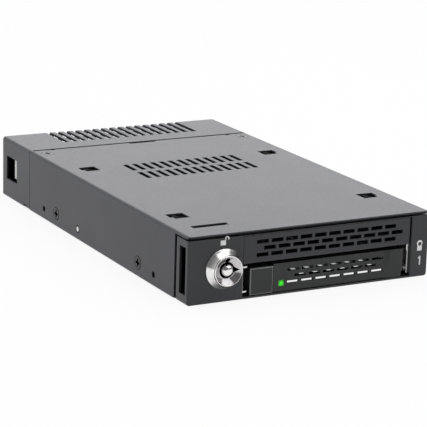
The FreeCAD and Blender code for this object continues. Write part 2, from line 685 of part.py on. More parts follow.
def guide_rail(label, web, ledge, ear):
    """A tray guide: web, ledge under the tray, lips over it, and hooks into the cover.

    web and ledge are the web's inner face and the way to the tray; ear is how far the
    ears reach, along X, from the web to the hooks.
    """
    owner = piece(label)
    start = mm.bezel_depth + mm.seam
    outside = web - mm.guide * ledge
    low, high = sorted((web, outside), key=lambda place: place.value)
    box(owner, "web", (low, high), (start, guide_back), (floor_top, roof))
    foot = ordered(web, web + mm.guide_ledge * ledge)
    box(owner, "ledge", foot, (start, guide_back), (floor_top, floor_top + mm.guide))
    for index, middle in enumerate(hook_rows):
        along = (middle - mm.hook_hole_length, middle + mm.hook_hole_length)
        box(owner, f"ear{index}", ordered(outside, ear - mm.skin * 2), along, (roof - mm.guide, roof))
        grip = (middle - mm.hook_width / 2, middle + mm.hook_width / 2)
        box(owner, f"hook{index}", (ear - mm.guide, ear), grip, (roof - mm.guide, mm.cage_height - mm.fit))
        claw_top = mm.cage_height - mm.fit
        box(owner, f"claw{index}", (ear - mm.skin * 2, ear), grip, (claw_top - mm.guide, claw_top))
    relief = (mm.cage_height - mm.shank_length - mm.fit, roof)
    hollow(owner, "tongue_relief", (low, high), (tongue_front - mm.fit, guide_back), relief)
    lip_foot = mm.rail_top + mm.fit
    over_rail = ordered(web, web + (mm.fit + mm.rail) * ledge)
    first = start + mm.lip_length * 2
    lip = box(owner, "lip", over_rail, (first, first + mm.lip_length), (lip_foot, lip_foot + mm.guide))
    lip_pitch = (guide_back - mm.lip_length * 2 - first) / 2
    repeat(owner, lip, ("Y", 3, lip_pitch))
    window = sketch(owner, "windows", "YZ", low)
    for step in (0, 1):
        front = first + lip_pitch * step + mm.lip_length * 2
        along = (front, front + lip_pitch - mm.lip_length * 3)
        rectangle(window, along, (mm.rail_foot + mm.guide * 2, mm.rail_top - mm.guide))
    pocket(owner, window, mm.guide)
    return owner, low


def ordered(one, other):
    """Two limits with the lower one first."""
    return (one, other) if size(one).value < size(other).value else (other, one)


def guides():
    left, web = guide_rail("left_guide", open_left, 1, -hook_line)
    gate = sketch(left, "cam_window", "YZ", web)
    cam_front = mm.barrel_length
    low = mm.lock_rise - mm.cam_width / 2 - mm.fit * 2
    high = cam_tip - mm.skin * 2
    rectangle(gate, (cam_front - mm.fit, cam_front + mm.cam_sheet + mm.fit * 3), (low, high))
    pocket(left, gate, mm.guide)
    guide_rail("right_guide", open_right, -1, hook_line)


def lock_brace():
    """An upright behind the lock, below the slot of the cover."""
    owner = piece("lock_brace")
    reach = mm.brace_width / 2
    back = mm.brace_setback + mm.brace
    across = (lock_x - reach, lock_x + reach)
    box(owner, "upright", across, (mm.brace_setback, back), (floor_top, roof - mm.skin * 2))
    box(owner, "foot", across, (mm.brace_setback, back + mm.skin * 4), (floor_top, floor_top + mm.brace))
    spot = [(lock_x, mm.lock_rise)]
    bore(owner, "barrel_hole", "XZ", mm.brace_setback, mm.brace, spot, mm.barrel_radius + mm.fit)


def turned(label, profile):
    """A piece turned about the lock's axis; the profile is (radius, setback) pairs."""
    owner = piece(label)
    drawing = sketch(owner, "profile", "XY", mm.lock_rise)
    polygon(drawing, [(lock_x + radius, setback) for radius, setback in profile])
    axis = sketch(owner, "axis", "XY", mm.lock_rise)
    line = axis.addGeometry(Part.LineSegment(FreeCAD.Vector(0, 0, 0), FreeCAD.Vector(0, 1, 0)), False)
    fix(axis, line, 1, lock_x, 0)
    fix(axis, line, 2, lock_x, mm.barrel_length)
    feature = owner.newObject("PartDesign::Revolution", f"{label}_turn")
    feature.Profile = drawing
    feature.ReferenceAxis = (axis, ["Edge1"])
    return owner


def lock_housing():
    """The chrome body of the tubular lock: flange, bell, rim, funnel and barrel."""
    profile = [
        (mm.key_radius, mm.barrel_length - mm.skin),
        (mm.key_radius, mm.flange_sheet - mm.rim_reach * 2 / 3),
        (mm.funnel_radius, -mm.rim_reach),
        (mm.rim_radius - mm.fit, -mm.rim_reach),
        (mm.rim_radius, mm.fit - mm.rim_reach),
        (mm.bell_radius, -mm.flange_sheet),
        (mm.flange_radius, -mm.flange_sheet),
        (mm.flange_radius, 0),
        (mm.barrel_radius, 0),
        (mm.barrel_radius, mm.barrel_length - mm.skin),
    ]
    owner = turned("lock_housing", profile)
    notch = mm.skin * 2 / 3
    hollow(
        owner,
        "top_notch",
        (lock_x - notch, lock_x + notch),
        (-mm.rim_reach, mm.key_depth),
        (mm.lock_rise + mm.post_radius, mm.lock_rise + mm.funnel_radius - notch),
    )
    hollow(
        owner,
        "side_notch",
        (lock_x + mm.post_radius, lock_x + mm.funnel_radius - notch),
        (-mm.rim_reach, mm.key_depth),
        (mm.lock_rise - notch, mm.lock_rise + notch),
    )


def lock_core():
    """The turning part: centre post, ring behind the key slot, spindle and cam square."""
    running = mm.key_radius - mm.core_fit
    square_start = mm.barrel_length
    profile = [
        (0, mm.skin - mm.rim_reach),
        (mm.post_radius, mm.skin * 3 / 2 - mm.rim_reach),
        (mm.post_radius, mm.key_depth),
        (running, mm.key_depth),
        (running, square_start),
        (0, square_start),
    ]
    owner = turned("lock_core", profile)
    side = mm.cam_square / 2
    square_end = square_start + mm.cam_sheet
    across = (lock_x - side, lock_x + side)
    box(owner, "square", across, (square_start, square_end), (mm.lock_rise - side, mm.lock_rise + side))
    boss(owner, "stud", "XZ", square_end, mm.nut_height, [(lock_x, mm.lock_rise)], side - mm.fit)
    lug = mm.skin / 2
    hollow(
        owner,
        "key_notch",
        (lock_x - lug, lock_x + lug),
        (-mm.rim_reach, 0),
        (mm.lock_rise + mm.post_radius - lug, mm.lock_rise + mm.post_radius),
    )


def hexagon(drawing, x, z, flats):
    """A hexagon with two upright sides."""
    side = flats / 2
    corner = flats / ROOT_THREE
    polygon(
        drawing,
        [
            (x, z - corner),
            (x + side, z - corner / 2),
            (x + side, z + corner / 2),
            (x, z + corner),
            (x - side, z + corner / 2),
            (x - side, z - corner / 2),
        ],
    )


def nut(label, setback, height, flats, hole):
    owner = piece(label)
    drawing = sketch(owner, "outline", "XZ", setback)
    hexagon(drawing, lock_x, mm.lock_rise, flats)
    pad(owner, drawing, height)
    bore(owner, "hole", "XZ", setback, height, [(lock_x, mm.lock_rise)], hole)


def lock_cam():
    """The cam that turns into the tray's side; it points up while the tray is free."""
    owner = piece("lock_cam")
    start = mm.barrel_length
    reach = mm.cam_width / 2
    drawing = sketch(owner, "outline", "XZ", start)
    polygon(
        drawing,
        [
            (lock_x - reach, mm.lock_rise - reach),
            (lock_x + reach, mm.lock_rise - reach),
            (lock_x + reach, cam_tip - reach / 2),
            (lock_x + reach / 2, cam_tip),
            (lock_x - reach / 2, cam_tip),
            (lock_x - reach, cam_tip - reach / 2),
        ],
    )
    pad(owner, drawing, mm.cam_sheet)
    side = mm.cam_square / 2 + mm.core_fit / 2
    up = (mm.lock_rise - side, mm.lock_rise + side)
    hollow(owner, "square", (lock_x - side, lock_x + side), (start, start + mm.cam_sheet), up)


def screws(label, plane, level, spots, forward, stray=None):
    """Countersunk screws with a cross recess; forward is the way that they point."""
    owner = piece(label)
    sets = [(plane, level, spots, forward)] + (stray or [])
    for index, (face, place, places, onward) in enumerate(sets):
        shank = mm.shank_radius - mm.core_fit
        boss(owner, f"heads{index}", face, place, mm.skin, places, mm.head_radius, onward, CONE)
        boss(owner, f"shanks{index}", face, place, mm.shank_length, places, shank, onward)
        cross = sketch(owner, f"cross{index}", face, place)
        for x, y in places:
            cross_outline(cross, x, y)
        pocket(owner, cross, mm.skin * 3 / 4, onward)
    return owner


def cross_outline(drawing, x, y):
    """The outline of a cross recess."""
    thin = mm.recess_width / 2
    long = mm.head_radius * 0.55
    corner = (thin, thin)
    arm = [(long, -thin), (long, thin), corner]
    outline = []
    for turn in range(4):
        outline += arm
        arm = [(-b, a) for a, b in arm]
    polygon(drawing, [(size(x) + a, size(y) + b) for a, b in outline])


def fasteners():
    screws("top_screws", "XY", mm.cage_height, top_screws, False)
    screws("side_screws", "YZ", -half, side_screws, True, [("YZ", half, side_screws, False)])
    owner = piece("wall_rivets")
    length = mm.skin + mm.plate + mm.fit
    for name, side in (("left", -1), ("right", 1)):
        boss(owner, name, "YZ", half * side, length, wall_rivet, mm.rivet_radius, side < 0)


def board_parts():
    """The backplane with its connectors, its lamp and the screws that hold it."""
    owner = piece("backplane_board")
    wide = inner - mm.board_margin
    back = board_front + mm.board
    box(owner, "board", (-wide, wide), (board_front, back), (mm.board_foot, roof - mm.board_drop))
    bore(owner, "holes", "XZ", board_front, mm.board, board_screws, mm.shank_radius + mm.core_fit)

    owner = piece("board_screws")
    heads = sketch(owner, "heads", "XZ", board_front)
    for x, z in board_screws:
        hexagon(heads, x, z, mm.head_radius * 2)
    pad(owner, heads, mm.skin, forward=False)
    boss(owner, "shanks", "XZ", board_front, mm.shank_length, board_screws, mm.shank_radius - mm.core_fit)

    owner = piece("drive_connector")
    reach = mm.connector_width / 2
    high = mm.connector_height / 2
    face = drive_end
    up = (mm.connector_rise - high, mm.connector_rise + high)
    box(owner, "body", (drive_x - reach, drive_x + reach), (face, board_front), up)
    slot = mm.tongue_slot / 2
    thin = mm.contact_pitch
    deep = (face, board_front - mm.skin * 2)
    mouth = (mm.connector_rise - thin, mm.connector_rise + thin)
    hollow(owner, "slot", (drive_x - slot, drive_x + slot), deep, mouth)
    box(owner, "left_horn", (drive_x - reach, drive_x - slot - mm.skin), (face - mm.skin * 2, face), up)
    box(owner, "right_horn", (drive_x + slot + mm.skin, drive_x + reach), (face - mm.skin * 2, face), up)

    owner = piece("connector_contacts")
    first = drive_x - mm.contact_pitch * mm.drive_contacts / 2 + mm.contact_pitch / 4
    strip = box(
        owner,
        "strip",
        (first, first + mm.contact_pitch / 2),
        (face + mm.skin, board_front - mm.skin * 2),
        (mm.connector_rise - thin, mm.connector_rise - thin + mm.fit),
    )
    repeat(owner, strip, ("X", mm.drive_contacts, mm.contact_pitch))

    plug("power_connector", mm.power_inset - half, mm.power_width, back)
    plug("data_connector", mm.data_inset - half, mm.data_width, back)

    owner = piece("status_led")
    lamp = mm.pipe / 2
    up = (mm.deck_level - mm.pipe, mm.deck_level)
    box(owner, "lamp", (lens_x - lamp, lens_x + lamp), (board_front - mm.skin, board_front), up)


def plug(label, middle, width, back):
    """A shrouded rear connector with an L-shaped tongue."""
    owner = piece(label)
    reach = width / 2
    rise = mm.plug_height / 2
    front = rear_inside + mm.skin / 2
    low, high = mm.plug_rise - rise, mm.plug_rise + rise
    box(owner, "shroud", (middle - reach, middle + reach), (back, front), (low, high))
    wall = mm.skin
    cavity = (front - mm.shank_length * 2, front)
    hollow(owner, "cavity", (middle - reach + wall, middle + reach - wall), cavity, (low + wall, high - wall))
    inset = wall * 2
    blade = mm.contact_pitch / 2
    up = (mm.plug_rise - blade, mm.plug_rise + blade)
    box(owner, "tongue", (middle - reach + inset, middle + reach - inset), cavity, up)


# --------------------------------------------------------------------- the tray
def tray_face():
    """The vented front of the tray, with returns and a wall behind the latch button."""
    owner = piece("tray_face")
    box(owner, "outer", (tray_left, face_right), (0, mm.face_depth), (mm.rail_top, face_top))
    hollow(
        owner,
        "inside",
        (tray_left + mm.face_flange, face_right - mm.face_flange),
        (mm.face_sheet, mm.face_depth),
        (mm.rail_top + mm.face_flange, face_top - mm.face_flange),
    )
    round_edges(owner, "lower_edge", mm.face_edge, lambda edge: straight(edge, "x", y=(0,), z=(mm.rail_top,)))
    row = mm.rail_top + mm.face_vent_foot
    rise = (face_top - mm.face_vent_drop - row) / 2
    first = tray_left + mm.face_vent_inset
    offset = first + mm.vent_pitch / 2
    count = fitting(face_right - mm.face_flange * 2 - mm.vent_length - offset, mm.vent_pitch)
    height = mm.face_vent_height
    vents(owner, first, row, count, mm.face_sheet, 2, rise, height)
    vents(owner, offset, row + rise, count, mm.face_sheet, 1, rise, height)

    wall_front = mm.latch_depth + mm.latch_wall
    wall_back = wall_front + mm.latch_wall
    up = (mm.rail_foot + mm.skin, mm.rail_top + mm.face_flange)
    box(owner, "latch_wall", (inner_left, lever_x - mm.fit), (wall_front, wall_back), up)
    tab = (inner_left, inner_left + mm.latch_wall)
    box(owner, "rail_tab", tab, (wall_front, mm.face_depth * 2), (mm.deck_level, mm.rail_top - mm.skin))
    stem = mm.stem_width / 2
    rise = mm.stem_height / 2 + mm.fit
    hollow(
        owner,
        "stem_slot",
        (latch_middle - stem - mm.latch_travel - mm.fit, latch_middle + stem + mm.fit),
        (wall_front, wall_back),
        (latch_z - rise, latch_z + rise),
    )


def vents(owner, first, row, count, deep, rows, rise, height):
    """Rows of vent slots through a front wall, each two rises above the last, the lowest first."""
    drawing = sketch(owner, f"vents{rows}", "XZ", 0)
    rectangle(drawing, (first, first + mm.vent_length), (row - height / 2, row + height / 2))
    slot = pocket(owner, drawing, deep)
    upwards = ("Z", rows, rise * 2) if rows > 1 else None
    repeat(owner, slot, ("X", count, mm.vent_pitch), upwards)


def tray_rails():
    """The bare side rails, with lugs at the front and a gate for the lock's cam."""
    for label, outside, inwards in (("tray_rail_left", tray_left, 1), ("tray_rail_right", tray_right, -1)):
        owner = piece(label)
        web = ordered(outside, outside + mm.rail * inwards)
        box(owner, "web", web, (mm.rail_setback, tray_end), (mm.rail_foot, mm.rail_top))
        if inwards > 0:
            lug = ordered(outside, outside + mm.latch_gap * 3 / 4)
            front = (mm.rail_setback, mm.rail_setback + mm.skin * 2)
            box(owner, "lower_lug", lug, front, (lug_foot, lug_foot + mm.rail))
            high = mm.rail_top - mm.skin
            box(owner, "upper_lug", lug, front, (high - mm.rail, high))
            rise = mm.cam_width / 2 + mm.fit * 2
            cam = (mm.barrel_length - mm.fit, mm.barrel_length + mm.cam_sheet + mm.fit * 3)
            hollow(owner, "cam_gate", web, cam, (mm.lock_rise - rise, mm.rail_top))
            tail = (tray_end - mm.lip_length, tray_end)
            hollow(owner, "tail", web, tail, (mm.deck_level + mm.deck, mm.rail_top))
        else:
            lug = (outside - mm.rail - mm.skin / 3, outside)
            front = (mm.rail_setback, mm.rail_setback + mm.skin * 2)
            box(owner, "upper_lug", lug, front, (mm.rail_top - mm.stem_height, mm.rail_top))


def tray_floor():
    """The tray's floor: a sheet with down-turned sides, vents and raised screw pads."""
    owner = piece("tray_floor")
    deck_top = mm.deck_level + mm.deck
    along = (mm.deck_setback, tray_end)
    box(owner, "deck", (inner_left, inner_right), along, (mm.deck_level, deck_top))
    box(owner, "left_side", (inner_left, inner_left + mm.deck), along, (mm.rail_foot, mm.deck_level))
    box(owner, "right_side", (inner_right - mm.deck, inner_right), along, (mm.rail_foot, mm.deck_level))
    first = lens_x + mm.pipe
    front = mm.deck_setback + mm.vent_pitch
    pitch = mm.vent_length * 3
    hole_left = inner_left + mm.drive_hole_inset
    hole_right = inner_right - mm.drive_hole_inset
    room = hole_right - mm.drive_hole - mm.vent_length * 2 - first
    row_pitch = (tray_end - front) / 2
    across = (first, first + mm.vent_length * 2)
    window = hollow(owner, "window", across, (front, front + row_pitch - pitch), (mm.deck_level, deck_top))
    repeat(owner, window, ("X", fitting(room, pitch), pitch), ("Y", 2, row_pitch))
    near = drive_end - mm.drive_hole_near
    spots = [(x, near - mm.drive_hole_gap * step) for x in (hole_left, hole_right) for step in (0, 1)]
    bore(owner, "drive_holes", "XY", mm.deck_level, mm.deck, spots, mm.drive_hole / 2)


def hinge_bracket():
    """A bare bracket on the right rail with two lugs that hold the hinge pin."""
    owner = piece("hinge_bracket")
    web_front = mm.lever_depth + mm.skin * 0.8
    web_back = web_front + mm.bracket
    left = hinge_x - mm.hinge_setback
    eye = mm.hinge_radius + mm.skin / 3
    around = (mm.hinge_setback - eye, mm.hinge_setback + eye)
    for name, low in (("lower", hinge_levels()[0]), ("upper", hinge_levels()[1])):
        up = (low, low + mm.bracket)
        box(owner, name + "_eye", (hinge_x - eye, hinge_x + eye), around, up)
        box(owner, name + "_lug", (left, hinge_x), (mm.hinge_setback, web_back), up)
    low, high = hinge_levels()
    up = (low, high + mm.bracket)
    box(owner, "web", (left, inner_right), (web_front, web_back), up)
    box(owner, "side", (inner_right - mm.bracket, inner_right), (web_front, mm.face_depth * 2), up)
    hole = mm.hinge_radius + mm.core_fit / 4
    bore(owner, "pin_hole", "XY", low, high + mm.bracket - low, [(hinge_x, mm.hinge_setback)], hole)


def hinge_levels():
    """Undersides of the two lugs, which lie inside the lever's flanges."""
    low = mm.lever_foot + mm.lever_wall + mm.fit
    high = lever_top - mm.lever_wall - mm.fit - mm.bracket
    return low, high


def small_tray_parts():
    owner = piece("hinge_pin")
    length = mm.lever_height - mm.fit * 2
    spot = [(hinge_x, mm.hinge_setback)]
    boss(owner, "pin", "XY", mm.lever_foot + mm.fit, length, spot, mm.hinge_radius)

    owner = piece("tray_rivets")
    rise = mm.rail_top * 0.6
    middle = mm.face_depth * 3 / 2
    for name, place, forward in (("left", tray_left + mm.rail, True), ("right", tray_right - mm.rail, False)):
        thick = mm.latch_wall if forward else mm.bracket
        start = place + thick if forward else place - thick
        boss(owner, name + "_head", "YZ", start, mm.rail, [(middle, rise)], mm.rivet_radius, forward)

    owner = piece("light_pipe")
    reach = mm.pipe / 2
    along = (mm.lever_depth + mm.seam, board_front - mm.skin - mm.seam * 2)
    up = (mm.deck_level - mm.pipe, mm.deck_level)
    box(owner, "pipe", (lens_x - reach, lens_x + reach), along, up)


# -------------------------------------------------------------------- the lever
def eject_lever():
    """The vented eject lever: a channel that is rounded about its hinge."""
    owner = piece("eject_lever")
    outer = sketch(owner, "outline", "XY", mm.lever_foot)
    lever_outline(outer, 0)
    pad(owner, outer, mm.lever_height)
    inside = sketch(owner, "channel", "XY", mm.lever_foot + mm.lever_wall)
    lever_outline(inside, mm.lever_wall)
    pocket(owner, inside, mm.lever_height - mm.lever_wall * 2)
    row = lever_top - mm.lever_vent_drop
    first = lever_x + mm.lever_vent_inset
    deep = mm.lever_wall + mm.lever_scoop
    slope = lever_end() - mm.lever_land - mm.scoop_slope
    count = fitting(slope + mm.fit - mm.vent_length - first, mm.vent_pitch)
    height = mm.lever_vent_height
    vents(owner, first, row - mm.vent_rise * 2, count, deep, 2, mm.vent_rise, height)
    vents(owner, first + mm.vent_pitch / 2, row - mm.vent_rise, count - 1, deep, 1, mm.vent_rise, height)
    side = mm.lens_side / 2
    lens = sketch(owner, "lens", "XZ", 0)
    rectangle(lens, (lens_x - side, lens_x + side), (lens_z - side, lens_z + side))
    pocket(owner, lens, deep)
    corner = sketch(owner, "corner", "XZ", 0)
    rectangle(corner, (lever_end() - mm.skin * 2, lever_end()), (mm.lever_foot, mm.lever_foot + mm.skin * 2))
    pocket(owner, corner, mm.hinge_setback)
    rise = mm.stem_height / 2 + mm.fit
    catch = (nose_front - mm.fit, mm.latch_depth + mm.fit)
    hollow(owner, "catch", (lever_x, lever_x + mm.lever_wall), catch, (latch_z - rise, latch_z + rise))
    spot = [(hinge_x, mm.hinge_setback)]
    bore(owner, "pin_hole", "XY", mm.lever_foot, mm.lever_height, spot, mm.hinge_radius + mm.hinge_fit)


def lever_outline(drawing, wall):
    """The lever in plan: scooped front, flat land, a round end about the hinge, open back."""
    wall = size(wall)
    inside = wall.value > 0
    left = lever_x + wall
    scoop = mm.lever_scoop + wall
    land = lever_end() - mm.lever_land
    slope = land - mm.scoop_slope
    radius = mm.hinge_setback - wall
    back = mm.lever_depth + (mm.fit if inside else 0)
    near_back = mm.hinge_setback * 2 if not inside else back
    turn = hinge_x - mm.hinge_setback
    spots = [
        (hinge_x, wall),
        (land, wall),
        (slope, scoop),
        (left, scoop),
        (left, back),
        (turn, back),
    ]
    if inside:
        spots.append((lever_end() + mm.fit, back))
        spots.append((lever_end() + mm.fit, mm.hinge_setback))
        spots.append((hinge_x + radius, mm.hinge_setback))
    else:
        spots.append((hinge_x, near_back))
    first = drawing.GeometryCount
    points = [FreeCAD.Vector(size(x).value, size(y).value, 0) for x, y in spots]
    for one, two in zip(points, points[1:]):
        drawing.addGeometry(Part.LineSegment(one, two), False)
    middle = FreeCAD.Vector(hinge_x.value, mm.hinge_setback.value, 0)
    ring = Part.Circle(middle, FreeCAD.Vector(0, 0, 1), radius.value)
    last = 0 if inside else QUARTER
    arc = drawing.addGeometry(Part.ArcOfCircle(ring, -QUARTER, last), False)
    for index in range(len(spots) - 2):
        drawing.addConstraint(Sketcher.Constraint("Coincident", first + index, 2, first + index + 1, 1))
    for index, (x, y) in enumerate(spots[:-1]):
        fix(drawing, first + index, 1, x, y)
    fix(drawing, first + len(spots) - 2, 2, *spots[-1])
    drawing.addConstraint(Sketcher.Constraint("Coincident", arc, 1, first, 1))
    drawing.addConstraint(Sketcher.Constraint("Coincident", arc, 2, first + len(spots) - 2, 2))
    index = drawing.addConstraint(Sketcher.Constraint("DistanceX", -1, 1, arc, 3, hinge_x.value))
    drawing.setExpression(f"Constraints[{index}]", hinge_x.formula)


def lever_lens():
    """The lit window in the lever."""
    owner = piece("lever_lens")
    side = mm.lens_side / 2 - mm.core_fit / 2
    front = mm.lever_scoop + mm.fit / 2
    back = mm.lever_wall + mm.lever_scoop
    box(owner, "window", (lens_x - side, lens_x + side), (front, back), (lens_z - side, lens_z + side))
    lip = mm.lens_side / 2 + mm.skin / 2
    up = (mm.lever_foot + mm.lever_wall, lens_z + lip)
    box(owner, "lip", (lens_x - lip, lens_x + lip), (back, back + mm.skin), up)


# -------------------------------------------------------------------- the latch
def latch_parts():
    """The sliding latch button and the clip that keeps it in the tray face."""
    owner = piece("latch_button")
    top = mm.lever_foot + mm.latch_height
    right = latch_x + mm.latch_width
    box(owner, "shell", (latch_x, right), (0, mm.latch_depth), (mm.lever_foot, top))
    wall = mm.lever_wall
    up = (mm.lever_foot + wall, top - wall)
    hollow(owner, "inside", (latch_x + wall, right - wall), (wall, mm.latch_depth), up)
    groove = (lug_foot - mm.fit, lug_foot + mm.rail + mm.fit)
    hollow(owner, "groove", (latch_x, latch_x + wall), (mm.rail_setback - mm.fit, mm.latch_depth), groove)
    stem = mm.stem_width / 2
    rise = mm.stem_height / 2
    stem_back = mm.latch_depth + mm.latch_wall * 2 + mm.fit
    up = (latch_z - rise, latch_z + rise)
    box(owner, "stem", (latch_middle - stem, latch_middle + stem), (wall, stem_back), up)
    box(owner, "nose", (right, right + mm.nose), (nose_front, mm.latch_depth), up)

    owner = piece("latch_clip")
    reach = stem + mm.skin
    box(
        owner,
        "plate",
        (latch_middle - reach, latch_middle + reach),
        (stem_back, stem_back + mm.bracket),
        (latch_z - rise - mm.skin, latch_z + rise + mm.skin),
    )


front_bezel()
cage_cover()
base_plate()
rear_cover()
guides()
lock_brace()
lock_housing()
lock_core()
nut("lock_nut", mm.bezel_face, mm.nut_height, mm.nut_flats, mm.barrel_radius + mm.core_fit / 2)
lock_cam()
cam_back = mm.barrel_length + mm.cam_sheet
nut("cam_nut", cam_back, mm.nut_height - mm.skin, mm.nut_flats / 2, mm.cam_square / 2 - mm.fit + mm.core_fit)
fasteners()
board_parts()
tray_face()
tray_rails()
tray_floor()
hinge_bracket()
small_tray_parts()
eject_lever()
lever_lens()
latch_parts()
doc.recompute()


# ------------------------------------------------------------- checks and output
def check():
    failed = [item.Label for item in doc.Objects if "Invalid" in item.State or "Error" in item.State]
    if failed:
        raise RuntimeError(f"failed: {failed}")
    for item in doc.Objects:
        if item.TypeId in ("PartDesign::Pocket", "PartDesign::Groove"):
            lost = item.BaseFeature.Shape.Volume - item.Shape.Volume
            if lost < TOUCH:
                raise RuntimeError(f"{item.Label} cuts nothing")
    for owner in nodes:
        if owner.Shape.isNull() or not owner.Shape.isValid():
            raise RuntimeError(f"{owner.Label} has no valid shape")


check()
os.makedirs("parts", exist_ok=True)
for owner in nodes:
    owner.Shape.exportStep(f"parts/{owner.Label}.step")
    print(owner.Label, len(owner.Shape.Solids), round(owner.Shape.Volume, 1))
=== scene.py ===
import math

import bmesh
import bpy
from mathutils import Matrix, Vector

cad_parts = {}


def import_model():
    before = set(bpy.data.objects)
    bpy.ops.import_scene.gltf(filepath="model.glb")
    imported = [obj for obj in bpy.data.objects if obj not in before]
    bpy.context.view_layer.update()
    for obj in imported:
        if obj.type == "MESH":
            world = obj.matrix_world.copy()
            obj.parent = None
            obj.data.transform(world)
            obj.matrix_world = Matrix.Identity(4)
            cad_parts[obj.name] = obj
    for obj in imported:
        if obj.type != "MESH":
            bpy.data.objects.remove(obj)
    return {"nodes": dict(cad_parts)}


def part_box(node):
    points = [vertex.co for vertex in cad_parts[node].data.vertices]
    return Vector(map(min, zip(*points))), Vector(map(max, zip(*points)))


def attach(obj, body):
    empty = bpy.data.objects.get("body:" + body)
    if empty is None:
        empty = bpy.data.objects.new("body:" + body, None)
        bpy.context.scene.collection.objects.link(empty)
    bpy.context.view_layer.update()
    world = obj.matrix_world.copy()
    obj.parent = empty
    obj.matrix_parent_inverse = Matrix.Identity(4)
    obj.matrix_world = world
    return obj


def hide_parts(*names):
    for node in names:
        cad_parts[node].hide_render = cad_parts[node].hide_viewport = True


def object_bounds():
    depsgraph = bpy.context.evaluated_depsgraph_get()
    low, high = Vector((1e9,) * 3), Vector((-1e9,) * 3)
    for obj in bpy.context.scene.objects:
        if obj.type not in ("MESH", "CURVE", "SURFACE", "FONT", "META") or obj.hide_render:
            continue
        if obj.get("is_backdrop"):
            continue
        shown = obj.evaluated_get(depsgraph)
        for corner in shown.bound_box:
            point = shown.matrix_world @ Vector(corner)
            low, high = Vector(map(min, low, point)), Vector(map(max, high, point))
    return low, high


# The hot swap drive cage at rest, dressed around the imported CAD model. X runs to
# the right, Y from the front to the back and Z up, in metres; sizes that are
# written in millimetres go through MM.

MM = 0.001
ROUND = 2 * math.pi

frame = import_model()
cad_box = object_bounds()
nodes = frame["nodes"]

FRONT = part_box("front_bezel")[0].y


def middle_of(node):
    low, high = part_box(node)
    return (low + high) / 2


LOCK_X, _, LOCK_Z = middle_of("lock_housing")


# ------------------------------------------------------------------ shader nodes
class Paint:
    """A material under construction, with short names for the nodes that it uses."""

    def __init__(self, name):
        self.material = bpy.data.materials.new(name)
        self.material.use_nodes = True
        self.tree = self.material.node_tree
        self.shader = self.tree.nodes["Principled BSDF"]
        self.output = self.tree.nodes["Material Output"]
        self.place = self.add("ShaderNodeTexCoord").outputs["Object"]

    def add(self, kind, **settings):
        node = self.tree.nodes.new(kind)
        for key, value in settings.items():
            setattr(node, key, value)
        return node

    def link(self, source, target):
        self.tree.links.new(source, target)

    def noise(self, size_mm, detail=2.0, roughness=0.5, stretch=(1, 1, 1)):
        """Noise whose features are about size_mm across."""
        mapping = self.add("ShaderNodeMapping")
        mapping.inputs["Scale"].default_value = [1 / (size_mm * MM * part) for part in stretch]
        self.link(self.place, mapping.inputs["Vector"])
        noise = self.add("ShaderNodeTexNoise")
        noise.inputs["Scale"].default_value = 1.0
        noise.inputs["Detail"].default_value = detail
        noise.inputs["Roughness"].default_value = roughness
        self.link(mapping.outputs["Vector"], noise.inputs["Vector"])
        return noise.outputs["Fac"]

    def spread(self, source, low, high, start=0.3, end=0.7):
        """Map a value from start..end to low..high."""
        node = self.add("ShaderNodeMapRange")
        node.inputs["From Min"].default_value = start
        node.inputs["From Max"].default_value = end
        node.inputs["To Min"].default_value = low
        node.inputs["To Max"].default_value = high
        self.link(source, node.inputs["Value"])
        return node.outputs["Result"]

    def mix(self, factor, one, two):
        """Mix two colours; each is a colour or an output."""
        node = self.add("ShaderNodeMix", data_type="RGBA")
        self.link(factor, node.inputs["Factor"])
        for socket, colour in ((node.inputs[6], one), (node.inputs[7], two)):
            if isinstance(colour, tuple):
                socket.default_value = (*colour, 1.0)
            else:
                self.link(colour, socket)
        return node.outputs[2]

    def edges(self, radius_mm):
        """1 on outer edges, 0 on flat places, and the normal of the softened edge."""
        soft = self.add("ShaderNodeBevel", samples=4)
        soft.inputs["Radius"].default_value = radius_mm * MM
        flat = self.add("ShaderNodeNewGeometry")
        dot = self.add("ShaderNodeVectorMath", operation="DOT_PRODUCT")
        self.link(soft.outputs["Normal"], dot.inputs[0])
        self.link(flat.outputs["Normal"], dot.inputs[1])
        edge_wear_and_highlight = self.spread(dot.outputs["Value"], 1.0, 0.0, 0.75, 0.99)
        return edge_wear_and_highlight, soft.outputs["Normal"]

    def bump(self, height, strength, depth_mm, normal=None):
        node = self.add("ShaderNodeBump")
        node.inputs["Strength"].default_value = strength
        node.inputs["Distance"].default_value = depth_mm * MM
        self.link(height, node.inputs["Height"])
        if normal:
            self.link(normal, node.inputs["Normal"])
        self.link(node.outputs["Normal"], self.shader.inputs["Normal"])

    def set(self, **values):
        for key, value in values.items():
            self.shader.inputs[key.replace("_", " ")].default_value = value


def coat(name, colour, wear_and_highlight_colour, roughness, grain_mm=0.35, grain=0.25, edge_mm=0.18, wear_and_highlight=0.5):
    """Paint or moulded plastic: fine grain, slow colour drift, and edges turned lighter, which is both edge
    wear and a painted highlight.
    """
    paint = Paint(name)
    drift = paint.noise(24, 3)
    darker = tuple(part * 0.86 for part in colour)
    lighter = tuple(part * 1.16 for part in colour)
    base = paint.mix(paint.spread(drift, 0, 1), darker, lighter)
    edge_wear_and_highlight, soft = paint.edges(edge_mm)
    patchy = paint.noise(2.2, 3)
    # The edges go towards the lighter colour in patches: edge wear and a painted highlight together.
    rubbed_and_highlit = paint.add("ShaderNodeMath", operation="MULTIPLY")
    paint.link(edge_wear_and_highlight, rubbed_and_highlit.inputs[0])
    paint.link(paint.spread(patchy, 0.15 * wear_and_highlight, wear_and_highlight), rubbed_and_highlit.inputs[1])
    paint.link(paint.mix(rubbed_and_highlit.outputs[0], base, wear_and_highlight_colour), paint.shader.inputs["Base Color"])
    fine = paint.noise(grain_mm, 2, 0.6)
    paint.link(paint.spread(fine, roughness - 0.05, roughness + 0.06), paint.shader.inputs["Roughness"])
    paint.bump(fine, grain, 0.02, soft)
    return paint


